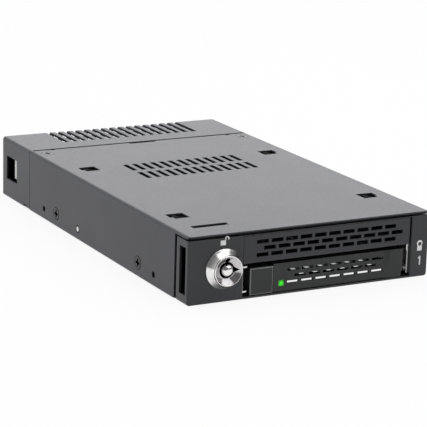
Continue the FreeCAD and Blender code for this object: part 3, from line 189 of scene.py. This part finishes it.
def paint_shade_inside(paint, colour, depth_mm):
    """Painted shade: the sheet's inner side and cut edges are painted black and dull, below a depth under its
    outer skin.
    """
    low, high = cad_box
    split = paint.add("ShaderNodeSeparateXYZ")
    paint.link(paint.place, split.inputs[0])
    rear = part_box("rear_cover")[1].y
    ramp = 0.1 * MM
    skins = (("X", low[0], 1), ("X", high[0], -1), ("Y", rear, -1), ("Z", high[2], -1))
    total = None
    for axis, skin, inwards in skins:
        start = skin + inwards * depth_mm * MM
        deep = paint.spread(split.outputs[axis], 0.0, 1.0, start, start + inwards * ramp)
        if total is None:
            total = deep
            continue
        both = paint.add("ShaderNodeMath", operation="MINIMUM")
        paint.link(total, both.inputs[0])
        paint.link(deep, both.inputs[1])
        total = both.outputs[0]
    base = paint.shader.inputs["Base Color"]
    outside = base.links[0].from_socket
    paint.link(paint.mix(total, outside, colour), base)
    grain = paint.shader.inputs["Roughness"]
    rough = paint.add("ShaderNodeMath", operation="MAXIMUM")
    paint.link(grain.links[0].from_socket, rough.inputs[0])
    paint.link(total, rough.inputs[1])
    paint.link(rough.outputs[0], grain)


def sheet_metal(name, colour, roughness, along=(0.3, 14, 0.3)):
    """Rolled or plated sheet: streaks along the rolling direction and faint stains."""
    paint = Paint(name)
    streak = paint.noise(1.0, 3, 0.6, along)
    stain = paint.noise(9, 3)
    dull = tuple(part * 0.82 for part in colour)
    base = paint.mix(paint.spread(streak, 0, 0.7), colour, dull)
    tint = tuple(part * 0.92 for part in colour)
    paint.link(paint.mix(paint.spread(stain, 0, 0.5), base, tint), paint.shader.inputs["Base Color"])
    paint.link(paint.spread(streak, roughness - 0.08, roughness + 0.1), paint.shader.inputs["Roughness"])
    _, soft = paint.edges(0.12)
    paint.bump(streak, 0.12, 0.01, soft)
    paint.set(Metallic=1.0)
    return paint


def chrome():
    """Polished chrome with a faint haze and fine scuffs."""
    paint = Paint("polished_chrome")
    haze = paint.noise(3.0, 3)
    paint.link(paint.mix(paint.spread(haze, 0, 1), (0.80, 0.80, 0.79), (0.88, 0.87, 0.86)),
               paint.shader.inputs["Base Color"])
    scuff = paint.noise(0.5, 3, 0.7, (1, 1, 3))
    paint.link(paint.spread(scuff, 0.13, 0.22), paint.shader.inputs["Roughness"])
    _, soft = paint.edges(0.1)
    paint.bump(haze, 0.06, 0.01, soft)
    paint.set(Metallic=1.0)
    return paint


def plated_inside():
    """The duller plating inside the lock, darker than the chrome and a little purple."""
    paint = Paint("lock_inside")
    haze = paint.noise(1.2, 3)
    paint.link(paint.mix(paint.spread(haze, 0, 1), (0.50, 0.47, 0.50), (0.68, 0.66, 0.66)),
               paint.shader.inputs["Base Color"])
    paint.link(paint.spread(haze, 0.12, 0.24), paint.shader.inputs["Roughness"])
    paint.bump(haze, 0.08, 0.01)
    paint.set(Metallic=1.0)
    return paint


def glow(name, colour, middle, reach_mm):
    """A lit window: green plastic that glows, bright in its middle and deep green at its rim."""
    paint = Paint(name)
    paint.set(Roughness=0.25)
    mapping = paint.add("ShaderNodeMapping", vector_type="TEXTURE")
    mapping.inputs["Location"].default_value = middle
    mapping.inputs["Scale"].default_value = [reach_mm * MM] * 3
    paint.link(paint.place, mapping.inputs["Vector"])
    ball = paint.add("ShaderNodeTexGradient", gradient_type="SPHERICAL")
    paint.link(mapping.outputs["Vector"], ball.inputs["Vector"])
    cell = paint.noise(0.9, 2)
    uneven = paint.add("ShaderNodeMath", operation="MULTIPLY")
    paint.link(ball.outputs["Fac"], uneven.inputs[0])
    paint.link(paint.spread(cell, 0.6, 1.4), uneven.inputs[1])
    deep = tuple(part * 0.22 for part in colour)
    tint = paint.mix(paint.spread(uneven.outputs[0], 0, 1, 0.05, 0.5), deep, colour)
    paint.link(tint, paint.shader.inputs["Base Color"])
    paint.link(tint, paint.shader.inputs["Emission Color"])
    paint.set(Emission_Strength=1.0)
    paint.bump(cell, 0.1, 0.02)
    return paint


def clear_plastic():
    """Clear acrylic, slightly green and hazy."""
    paint = Paint("clear_acrylic")
    haze = paint.noise(2, 2)
    paint.link(paint.mix(haze, (0.80, 0.93, 0.84), (0.92, 0.97, 0.94)), paint.shader.inputs["Base Color"])
    paint.link(paint.spread(haze, 0.05, 0.15), paint.shader.inputs["Roughness"])
    paint.set(Transmission_Weight=0.85, IOR=1.49)
    return paint


def solder_mask():
    """Green circuit board with faint copper tracks under its mask."""
    paint = Paint("solder_mask")
    brick = paint.add("ShaderNodeTexBrick")
    brick.inputs["Scale"].default_value = 1.0
    mapping = paint.add("ShaderNodeMapping")
    mapping.inputs["Scale"].default_value = (420, 420, 420)
    mapping.inputs["Rotation"].default_value = (math.pi / 2, 0, 0)
    paint.link(paint.place, mapping.inputs["Vector"])
    paint.link(mapping.outputs["Vector"], brick.inputs["Vector"])
    brick.inputs["Color1"].default_value = (0.010, 0.105, 0.040, 1)
    brick.inputs["Color2"].default_value = (0.014, 0.125, 0.050, 1)
    brick.inputs["Mortar"].default_value = (0.030, 0.200, 0.080, 1)
    brick.inputs["Mortar Size"].default_value = 0.03
    paint.link(brick.outputs["Color"], paint.shader.inputs["Base Color"])
    fine = paint.noise(0.6, 2)
    paint.link(paint.spread(fine, 0.22, 0.36), paint.shader.inputs["Roughness"])
    paint.bump(brick.outputs["Fac"], 0.15, 0.02)
    return paint


def print_ink():
    """Screen-printed white ink, slightly uneven."""
    paint = Paint("print_ink")
    fleck = paint.noise(0.4, 3)
    paint.link(paint.mix(paint.spread(fleck, 0, 1), (0.88, 0.88, 0.87), (0.97, 0.97, 0.96)),
               paint.shader.inputs["Base Color"])
    paint.set(Roughness=0.6)
    paint.bump(fleck, 0.15, 0.01)
    return paint


COVER = coat("cover_coat", (0.045, 0.046, 0.058), (0.20, 0.20, 0.21), 0.40, edge_mm=0.08, wear_and_highlight=0.35)
COVER.set(IOR=1.42)
# Painted shade on the covers' inner side and cut edges, near-black and dull.
paint_shade_inside(COVER, (0.006, 0.006, 0.007), 0.45)
BEZEL = coat("bezel_coat", (0.026, 0.027, 0.031), (0.24, 0.24, 0.25), 0.40, edge_mm=0.25, wear_and_highlight=0.7)
TRAY = coat("tray_coat", (0.028, 0.029, 0.033), (0.20, 0.20, 0.21), 0.42, edge_mm=0.2, wear_and_highlight=0.5)
LEVER = coat("lever_plastic", (0.018, 0.019, 0.020), (0.18, 0.18, 0.19), 0.44, 0.25, 0.3, 0.25, wear_and_highlight=0.7)
# A light, shinier paint for the bevels of the front pieces: a painted edge highlight.
EDGE_HIGHLIGHT = coat("painted_edge_highlight", (0.27, 0.27, 0.275), (0.33, 0.33, 0.34), 0.30, 0.3, 0.2, 0.05, wear_and_highlight=0.3)
BLACK = coat("moulded_nylon", (0.012, 0.012, 0.013), (0.05, 0.05, 0.05), 0.5, 0.3, 0.2, wear_and_highlight=0.3)
SCREW = coat("blackened_steel", (0.014, 0.014, 0.015), (0.30, 0.30, 0.31), 0.34, 0.3, 0.15, 0.1, 0.8)
# The base plate and tray floor are darker than bare metal: their finish plus painted shade, so the vents read
# dark.
ZINC_AND_SHADE = sheet_metal("zinc_sheet_and_painted_shade", (0.10, 0.10, 0.11), 0.50)
GREY_STEEL_AND_SHADE = sheet_metal("phosphated_steel_and_painted_shade", (0.11, 0.11, 0.11), 0.50)
# Black zinc for the lock brace, and painted shade on the lock's notch walls and deep key slot.
DARK_ZINC_AND_SHADE = sheet_metal("black_zinc_and_painted_shade", (0.030, 0.030, 0.032), 0.50)
# The guides are painted near-black and dull: painted shade in the cover's hook holes.
GUIDE_SHADE = coat("guides_painted_shade", (0.010, 0.010, 0.011), (0.03, 0.03, 0.03), 0.75, wear_and_highlight=0.2)
GUIDE_SHADE.set(IOR=1.1)
NYLON = coat("white_nylon", (0.70, 0.70, 0.68), (0.80, 0.80, 0.78), 0.45, wear_and_highlight=0.2)
STEEL = sheet_metal("bare_steel", (0.74, 0.74, 0.73), 0.28)
BRIGHT = sheet_metal("bright_zinc", (0.78, 0.78, 0.77), 0.24, (1, 1, 1))
GOLD = sheet_metal("gold_flash", (0.83, 0.60, 0.24), 0.25, (1, 1, 1))
# Near-black dull paint for the rims and recess edges of screw heads and rivets: painted shade in the gaps
# round them.
GAP_SHADE = coat("painted_gap_shade", (0.004, 0.004, 0.004), (0.008, 0.008, 0.008), 0.8, wear_and_highlight=0.1)
GAP_SHADE.set(IOR=1.05)
CHROME = chrome()
INSIDE = plated_inside()
GREEN_GLOW = glow("lit_green", (0.02, 0.62, 0.005), middle_of("lever_lens"), 1.7)
LED_GLOW = glow("lit_lamp", (0.02, 0.62, 0.005), middle_of("status_led"), 2.5)
CLEAR = clear_plastic()
BOARD = solder_mask()
INK = print_ink()

FINISHES = {
    "front_bezel": BEZEL,
    "cage_cover": COVER,
    "rear_cover": COVER,
    "base_plate": ZINC_AND_SHADE,
    "left_guide": GUIDE_SHADE,
    "right_guide": GUIDE_SHADE,
    "lock_brace": DARK_ZINC_AND_SHADE,
    "lock_nut": BRIGHT,
    "lock_cam": BRIGHT,
    "cam_nut": BRIGHT,
    "top_screws": SCREW,
    "side_screws": SCREW,
    "wall_rivets": BRIGHT,
    "board_screws": BRIGHT,
    "backplane_board": BOARD,
    "drive_connector": BLACK,
    "connector_contacts": GOLD,
    "power_connector": BLACK,
    "data_connector": BLACK,
    "status_led": LED_GLOW,
    "tray_face": TRAY,
    "tray_rail_left": STEEL,
    "tray_rail_right": STEEL,
    "tray_floor": GREY_STEEL_AND_SHADE,
    "hinge_bracket": STEEL,
    "hinge_pin": BRIGHT,
    "tray_rivets": BRIGHT,
    "light_pipe": CLEAR,
    "eject_lever": LEVER,
    "lever_lens": GREEN_GLOW,
    "latch_button": LEVER,
    "latch_clip": LEVER,
}


def finish_nodes():
    for name, paint in FINISHES.items():
        for slot in nodes[name].material_slots:
            slot.material = paint.material


# ------------------------------------------------------------------ mesh building
def make(name, mesh, body, paint):
    piece = bpy.data.objects.new(name, mesh)
    bpy.context.scene.collection.objects.link(piece)
    mesh.materials.append(paint.material)
    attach(piece, body)
    return piece


def mesh_from(bm, name):
    bmesh.ops.recalc_face_normals(bm, faces=bm.faces)
    mesh = bpy.data.meshes.new(name)
    bm.to_mesh(mesh)
    bm.free()
    return mesh


def smooth(mesh, degrees=35):
    """Shade smooth, with the edges sharper than an angle left sharp."""
    bm = bmesh.new()
    bm.from_mesh(mesh)
    limit = math.radians(degrees)
    for face in bm.faces:
        face.smooth = True
    for edge in bm.edges:
        edge.smooth = len(edge.link_faces) == 2 and edge.calc_face_angle(0) < limit
    bm.to_mesh(mesh)
    bm.free()


def lathe(name, profile, steps=96):
    """Turn a closed profile of (radius, setback) in millimetres about the lock's axis."""
    bm = bmesh.new()
    rings = []
    for radius, setback in profile:
        y = FRONT + setback * MM
        if radius < 1e-6:
            rings.append([bm.verts.new((LOCK_X, y, LOCK_Z))])
            continue
        ring = []
        for step in range(steps):
            angle = ROUND * step / steps
            x = LOCK_X + radius * MM * math.cos(angle)
            z = LOCK_Z + radius * MM * math.sin(angle)
            ring.append(bm.verts.new((x, y, z)))
        rings.append(ring)
    pairs = list(zip(rings, rings[1:]))
    if len(rings[0]) > 1 and len(rings[-1]) > 1:
        pairs.append((rings[-1], rings[0]))
    for one, two in pairs:
        for step in range(steps):
            follower = (step + 1) % steps
            if len(one) == 1 and len(two) == 1:
                break
            if len(one) == 1:
                bm.faces.new((one[0], two[step], two[follower]))
            elif len(two) == 1:
                bm.faces.new((one[step], one[follower], two[0]))
            else:
                bm.faces.new((one[step], one[follower], two[follower], two[step]))
    return mesh_from(bm, name)


def arc(middle, radius, start, end, steps):
    """Points on an arc in degrees, both ends included."""
    points = []
    for step in range(steps + 1):
        angle = math.radians(start + (end - start) * step / steps)
        points.append((middle[0] + radius * math.cos(angle), middle[1] + radius * math.sin(angle)))
    return points


def plate(name, outlines, holes, y, thick_mm):
    """A flat print on the front: outlines and holes in millimetres (x, z), filled and thickened."""
    curve = bpy.data.curves.new(name + "_outline", "CURVE")
    curve.dimensions = "2D"
    curve.fill_mode = "BOTH"
    curve.extrude = thick_mm * MM / 2
    for outline in outlines + holes:
        spline = curve.splines.new("POLY")
        spline.points.add(len(outline) - 1)
        for point, (x, z) in zip(spline.points, outline):
            point.co = (x * MM, z * MM, 0, 1)
        spline.use_cyclic_u = True
    holder = bpy.data.objects.new(name + "_holder", curve)
    bpy.context.scene.collection.objects.link(holder)
    bpy.context.view_layer.update()
    mesh = bpy.data.meshes.new_from_object(holder.evaluated_get(bpy.context.evaluated_depsgraph_get()))
    bpy.data.objects.remove(holder)
    upright = Matrix.Translation((0, y, 0)) @ Matrix.Rotation(math.pi / 2, 4, "X")
    mesh.transform(upright)
    mesh.materials.clear()
    mesh.name = name
    return mesh


# --------------------------------------------------------------------- the lock
def lock():
    """The tubular lock: a chrome bell with a dished face, two key notches and the post that turns."""
    rim = 3.6
    barrel, barrel_end = 5.0, 16.9
    flange = 7.5
    key_slot, key_depth = 2.9, 5.0
    profile = [(barrel, barrel_end), (barrel, 0.0), (flange, 0.0), (flange, -0.25)]
    profile += [(7.46, -0.36), (7.38, -0.44), (6.6, -1.66), (5.84, -2.86)]
    profile += [(5.72, -3.12), (5.66, -3.36), (5.62, -3.5)]
    profile += [(5.54, -rim + 0.02), (5.44, -rim), (5.32, -rim + 0.05)]
    profile += [(5.0, -rim + 0.3), (4.5, -rim + 0.72), (3.9, -rim + 1.2), (3.3, -rim + 1.6)]
    profile += arc((3.18, -rim + 1.82), 0.2, -60, -170, 4)
    profile += [(key_slot, key_depth), (key_slot, barrel_end)]
    bell = make("lock_bell", lathe("lock_bell", profile), "housing", CHROME)
    cut(bell, notch_cutter("top_notch", 90, 3.75, 0.95, 24))
    cut(bell, notch_cutter("side_notch", 0, 3.35, 1.35, 3))
    smooth(bell.data, 32)
    bell.data.materials.append(INSIDE.material)
    bell.data.materials.append(DARK_ZINC_AND_SHADE.material)
    # Faces on the notch walls and deep in the key slot take the dark zinc: painted shade in these recesses.
    inside_index, painted_shade_index = 1, 2
    notch_near, notch_far = 2.95 * MM, 4.9 * MM
    throat, mouth = 4.95 * MM, 5.3 * MM
    for face in bell.data.polygons:
        spot = face.center
        off = math.hypot(spot.x - LOCK_X, spot.z - LOCK_Z)
        wall = abs(face.normal.y) < 0.3
        inside = spot.y > FRONT - (rim - 1.9) * MM
        if (wall and notch_near < off < notch_far) or (inside and off < throat):
            face.material_index = painted_shade_index
        elif off < mouth:
            face.material_index = inside_index
    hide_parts("lock_housing")

    post = [(0.0, -rim), (0.7, -rim + 0.05), (1.25, -rim + 0.2), (1.75, -rim + 0.5)]
    post += [(2.1, -rim + 0.95), (2.25, -rim + 1.5), (2.25, 4.9), (2.75, 5.0), (2.75, 18.0), (0.0, 18.0)]
    mesh = lathe("lock_post", post, 64)
    smooth(mesh, 32)
    core = make("lock_post", mesh, "lock", CHROME)
    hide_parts("lock_core")


def notch_cutter(name, degrees, off_mm, radius_mm, sides):
    """A prism along the lock's axis; three sides make a V that points away from the post."""
    angle = math.radians(degrees)
    spot = (off_mm * math.cos(angle), off_mm * math.sin(angle))
    bm = bmesh.new()
    ends = []
    for setback in (-5.0, 4.0):
        ring = []
        for step in range(sides):
            corner = angle + ROUND * step / sides
            x = LOCK_X + (spot[0] + radius_mm * math.cos(corner)) * MM
            z = LOCK_Z + (spot[1] + radius_mm * math.sin(corner)) * MM
            ring.append(bm.verts.new((x, FRONT + setback * MM, z)))
        bm.faces.new(ring)
        ends.append(ring)
    for step in range(sides):
        follower = (step + 1) % sides
        bm.faces.new((ends[0][step], ends[0][follower], ends[1][follower], ends[1][step]))
    return mesh_from(bm, name)


def cut(piece, cutter_mesh):
    """Take a solid away from a piece."""
    cutter = bpy.data.objects.new("cutter", cutter_mesh)
    bpy.context.scene.collection.objects.link(cutter)
    modifier = piece.modifiers.new("cut", "BOOLEAN")
    modifier.operation = "DIFFERENCE"
    modifier.solver = "EXACT"
    modifier.object = cutter
    bpy.context.view_layer.update()
    shaped = bpy.data.meshes.new_from_object(piece.evaluated_get(bpy.context.evaluated_depsgraph_get()))
    piece.modifiers.clear()
    piece.data = shaped
    bpy.data.objects.remove(cutter)


# --------------------------------------------------------------- bevelled copies
def keep_highlight_outside(bm, limits, top):
    """Keep the painted edge highlight to the piece's outer limits, and put it on a rounded top edge."""
    near = 0.6 * MM
    top_band = 2 * MM
    for face in bm.faces:
        normal = face.normal
        spot = face.calc_center_median()
        if not any(abs(spot[axis] - limit) < near for axis, limit in limits):
            face.material_index = 0
        if normal.z > 0.3 and normal.y < -0.3 and spot.z > top - top_band:
            face.material_index = 1


def refined(node, body, width_mm, chosen, lowered_mm=0, edge_paint=EDGE_HIGHLIGHT):
    """A copy of a CAD node whose chosen sharp edges get a small real bevel in another paint; by default that
    paint is a painted edge highlight.
    """
    bm = bmesh.new()
    bm.from_mesh(nodes[node].data)
    bmesh.ops.remove_doubles(bm, verts=bm.verts, dist=MM / 1000)
    bmesh.ops.dissolve_limit(bm, angle_limit=math.radians(1), verts=bm.verts, edges=bm.edges)
    top = max(vert.co.z for vert in bm.verts)
    limits = []
    for axis, lowered in ((0, 0), (2, lowered_mm * MM)):
        limits.append((axis, min(vert.co[axis] for vert in bm.verts)))
        limits.append((axis, max(vert.co[axis] for vert in bm.verts) - lowered))
    for vert in bm.verts:
        if vert.co.z > top - MM / 10:
            vert.co.z -= lowered_mm * MM
    bm.normal_update()
    sharp = math.radians(40)
    edges = []
    for edge in bm.edges:
        if len(edge.link_faces) == 2 and edge.calc_face_angle(0) > sharp and chosen(edge):
            edges.append(edge)
    bmesh.ops.bevel(bm, geom=edges, offset=width_mm * MM, segments=2, profile=0.6, affect="EDGES",
                     material=1, clamp_overlap=True)
    bmesh.ops.triangulate(bm, faces=[face for face in bm.faces if len(face.verts) > 4])
    if edge_paint is EDGE_HIGHLIGHT:
        keep_highlight_outside(bm, limits, top)
    mesh = mesh_from(bm, node + "_bevelled")
    smooth(mesh, 40)
    along_an_axis = 0.9999
    for face in mesh.polygons:
        face.use_smooth = max(abs(part) for part in face.normal) < along_an_axis
    piece = make(node + "_bevelled", mesh, body, FINISHES[node])
    mesh.materials.append(edge_paint.material)
    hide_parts(node)


def on_front(edge):
    """Outer edges of the front of the object, long enough to take a bevel."""
    deepest = max(vert.co.y for vert in edge.verts)
    return edge.is_convex and deepest < FRONT + 2.5 * MM and edge.calc_length() > 0.9 * MM


def front_pieces():
    """The four pieces of the front, with bevelled edges in a painted highlight; the bezel ends a little below
    the roof.
    """
    refined("front_bezel", "housing", 0.22, on_front, 0.35)
    refined("tray_face", "tray", 0.2, on_front)
    refined("eject_lever", "lever", 0.25, on_front)
    refined("latch_button", "latch", 0.35, on_front)


def on_skin(edge):
    """Outer edges of a head that lies in a side wall or in the roof."""
    low, high = cad_box
    near = 0.5 * MM
    for vert in edge.verts:
        spot = vert.co
        if min(spot.x - low[0], high[0] - spot.x, high[2] - spot.z) > near:
            return False
    return True


def screw_heads():
    """The sunk screws and the wall rivets, whose rims and recess edges are painted near-black as painted
    shade.
    """
    refined("top_screws", "housing", 0.55, on_skin, edge_paint=GAP_SHADE)
    refined("side_screws", "housing", 0.4, on_skin, edge_paint=GAP_SHADE)
    refined("wall_rivets", "housing", 0.5, on_skin, edge_paint=GAP_SHADE)


def board_header():
    """A small header on the back of the backplane, seen through the window of the left side wall."""
    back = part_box("backplane_board")[1].y
    side = cad_box[0][0] + 1.2 * MM
    width = 3.2 * MM
    joint = back + 2.9 * MM
    end = back + 5.0 * MM
    parts = (
        ("header_base", BOARD, "board_green", (back, joint), (8.4 * MM, 17.6 * MM)),
        ("header_bar", NYLON, None, (joint, end), (9.2 * MM, 17.2 * MM)),
    )
    for name, paint, slot, (near, far), (foot, head) in parts:
        bm = bmesh.new()
        bmesh.ops.create_cube(bm, size=1)
        for vert in bm.verts:
            vert.co.x = side + (vert.co.x + 0.5) * width
            vert.co.y = near + (vert.co.y + 0.5) * (far - near)
            vert.co.z = foot + (vert.co.z + 0.5) * (head - foot)
        bmesh.ops.bevel(bm, geom=bm.edges[:], offset=0.2 * MM, segments=2, profile=0.6, affect="EDGES")
        mesh = mesh_from(bm, name)
        smooth(mesh, 40)
        make(name, mesh, "housing", paint)


# -------------------------------------------------------------------- the prints
def prints():
    """The open padlock above the lock, and the drive sign and number at the right."""
    proud = 0.04
    y = FRONT - proud / 2 * MM
    x, z = -37.85, 21.15
    body = [(x, z), (x + 2.1, z), (x + 2.1, z + 1.8), (x, z + 1.8)]
    hoop = (x + 2.6, z + 2.4)
    shackle = [(hoop[0] - 0.85, z + 1.7)] + arc(hoop, 0.85, 180, 0, 10) + [(hoop[0] + 0.85, z + 1.95)]
    shackle += [(hoop[0] + 0.45, z + 1.95)] + arc(hoop, 0.45, 0, 180, 10) + [(hoop[0] - 0.45, z + 1.7)]
    for name, outline in (("padlock_body", body), ("padlock_shackle", shackle)):
        make(name, plate(name, [outline], [], y, proud), "housing", INK)

    x, z = 47.0, 10.15
    half = 1.05
    corner = 0.3
    sign = arc((x - half + corner, z + corner), corner, 180, 270, 4)
    sign += arc((x + half - corner, z + corner), corner, 270, 360, 4)
    sign += [(x + half * 0.92, z + 1.6)]
    sign += arc((x, z + 2.9), 1.2, -35, 215, 24)
    sign += [(x - half * 0.92, z + 1.6)]
    eye = arc((x + 0.05, z + 2.65), 0.72, 0, 342, 18)
    make("drive_sign", plate("drive_sign", [sign], [eye], y, proud), "housing", INK)

    x, z = 47.1, 4.6
    wide = 0.55
    tall = 3.5
    one = [(x, z), (x + wide, z), (x + wide, z + tall), (x + 0.1, z + tall)]
    one += [(x - wide, z + 2.95), (x - wide, z + 2.4), (x, z + 2.7)]
    make("number_one", plate("number_one", [one], [], y, proud), "housing", INK)


# --------------------------------------------------------------- stage and camera
def stage():
    """White floor; the soft lamps and the world, bright behind and dim in front, come from lamps() and
    world().
    """
    mesh = bpy.data.meshes.new("floor")
    reach = 4.0
    clear = 0.05 * MM
    own_white = 0.9
    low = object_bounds()[0][2] - clear
    mesh.from_pydata([(-reach, -reach, low), (reach, -reach, low), (reach, reach, low), (-reach, reach, low)],
                     [], [(0, 1, 2, 3)])
    floor = bpy.data.objects.new("floor", mesh)
    bpy.context.scene.collection.objects.link(floor)
    floor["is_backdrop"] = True
    material = bpy.data.materials.new("floor_white")
    material.use_nodes = True
    tree = material.node_tree
    shader = tree.nodes["Principled BSDF"]
    shader.inputs["Base Color"].default_value = (0.85, 0.85, 0.85, 1)
    shader.inputs["Roughness"].default_value = 0.9
    glow_node = tree.nodes.new("ShaderNodeEmission")
    glow_node.inputs["Strength"].default_value = 1.0
    blend = tree.nodes.new("ShaderNodeMixShader")
    seen = seen_rays(tree)
    share = tree.nodes.new("ShaderNodeMath")
    share.operation = "MULTIPLY"
    tree.links.new(in_the_open(tree, own_white), share.inputs[1])
    tree.links.new(seen, share.inputs[0])
    tree.links.new(share.outputs[0], blend.inputs["Fac"])
    tree.links.new(shader.outputs[0], blend.inputs[1])
    tree.links.new(glow_node.outputs[0], blend.inputs[2])
    tree.links.new(blend.outputs[0], tree.nodes["Material Output"].inputs["Surface"])
    mesh.materials.append(material)


def in_the_open(tree, most):
    """The floor's own white: fading to none under the cage, behind its intake, where little light comes."""
    low, high = cad_box
    place = tree.nodes.new("ShaderNodeNewGeometry")
    split = tree.nodes.new("ShaderNodeSeparateXYZ")
    tree.links.new(place.outputs["Position"], split.inputs[0])
    total = None
    deep = FRONT + 12 * MM
    fades = (("X", low[0], low[0] + 2 * MM), ("X", high[0], high[0] - 2 * MM),
             ("Y", deep, deep + 28 * MM), ("Y", high[1], high[1] - 2 * MM))
    for axis, outside, inside in fades:
        fade = tree.nodes.new("ShaderNodeMapRange")
        fade.inputs["From Min"].default_value = outside
        fade.inputs["From Max"].default_value = inside
        fade.inputs["To Min"].default_value = most
        fade.inputs["To Max"].default_value = 0.0
        tree.links.new(split.outputs[axis], fade.inputs["Value"])
        if total is None:
            total = fade.outputs["Result"]
            continue
        either = tree.nodes.new("ShaderNodeMath")
        either.operation = "MAXIMUM"
        tree.links.new(total, either.inputs[0])
        tree.links.new(fade.outputs["Result"], either.inputs[1])
        total = either.outputs[0]
    return total


def seen_rays(tree):
    """1 for rays from the camera, and for those that metal or glass sends on."""
    path = tree.nodes.new("ShaderNodeLightPath")
    total = path.outputs["Is Camera Ray"]
    for name in ("Is Glossy Ray", "Is Transmission Ray"):
        both = tree.nodes.new("ShaderNodeMath")
        both.operation = "MAXIMUM"
        tree.links.new(total, both.inputs[0])
        tree.links.new(path.outputs[name], both.inputs[1])
        total = both.outputs[0]
    return total


def world():
    """White to the camera; as light, bright behind the object and dim on the viewer's side."""
    sky = bpy.data.worlds.new("studio")
    bpy.context.scene.world = sky
    sky.use_nodes = True
    tree = sky.node_tree
    light = tree.nodes["Background"]
    place = tree.nodes.new("ShaderNodeTexCoord")
    split = tree.nodes.new("ShaderNodeSeparateXYZ")
    tree.links.new(place.outputs["Generated"], split.inputs[0])
    depth = tree.nodes.new("ShaderNodeMapRange")
    depth.interpolation_type = "SMOOTHSTEP"
    depth.inputs["From Min"].default_value = -0.25
    depth.inputs["From Max"].default_value = 0.45
    depth.inputs["To Min"].default_value = 0.16
    depth.inputs["To Max"].default_value = 1.0
    tree.links.new(split.outputs["Y"], depth.inputs["Value"])
    tree.links.new(depth.outputs["Result"], light.inputs["Color"])
    light.inputs["Strength"].default_value = 1.0
    white = tree.nodes.new("ShaderNodeBackground")
    white.inputs["Color"].default_value = (1, 1, 1, 1)
    white.inputs["Strength"].default_value = 1.0
    blend = tree.nodes.new("ShaderNodeMixShader")
    path = tree.nodes.new("ShaderNodeLightPath")
    tree.links.new(path.outputs["Is Camera Ray"], blend.inputs["Fac"])
    tree.links.new(light.outputs[0], blend.inputs[1])
    tree.links.new(white.outputs[0], blend.inputs[2])
    tree.links.new(blend.outputs[0], tree.nodes["World Output"].inputs["Surface"])


def lamp(name, place, target, size, power):
    data = bpy.data.lights.new(name, "AREA")
    data.shape = "RECTANGLE"
    data.size, data.size_y = size
    data.energy = power
    holder = bpy.data.objects.new(name, data)
    bpy.context.scene.collection.objects.link(holder)
    holder.location = place
    aim = Vector(target) - Vector(place)
    holder.rotation_euler = aim.to_track_quat("-Z", "Y").to_euler()


def lamps():
    lamp("key", (0.50, -0.50, 0.90), (0, 0, 0), (1.2, 1.2), 5.5)
    lamp("top", (-0.1, 0.35, 1.2), (0, 0, 0), (1.2, 1.2), 6.0)
    lamp("rear", (0.75, 1.45, 0.55), (0, 0, 0), (1.5, 0.7), 4.4)


def camera():
    """The photograph's viewpoint: from the front left and a little above."""
    data = bpy.data.cameras.new("camera")
    azimuth, elevation, roll = [math.radians(angle) for angle in (-28.262, 14.814, 1.676)]
    left, ahead, above = 354.3 * MM, 582.6 * MM, 208.17 * MM
    data.sensor_width = 36.0
    data.lens = 164.08
    data.clip_end = 20.0
    holder = bpy.data.objects.new("camera", data)
    bpy.context.scene.collection.objects.link(holder)
    back = Vector((math.sin(azimuth) * math.cos(elevation), -math.cos(azimuth) * math.cos(elevation),
                   math.sin(elevation)))
    right = Vector((0, 0, 1)).cross(back).normalized()
    up = back.cross(right)
    across = math.cos(roll) * right + math.sin(roll) * up
    upright = -math.sin(roll) * right + math.cos(roll) * up
    turn = Matrix((across, upright, back)).transposed().to_4x4()
    spot = Vector((-left, FRONT - ahead, above))
    holder.matrix_world = Matrix.Translation(spot) @ turn
    bpy.context.scene.camera = holder


finish_nodes()
lock()
front_pieces()
screw_heads()
board_header()
prints()
stage()
world()
lamps()
camera()
bpy.context.scene.view_settings.view_transform = "Standard"
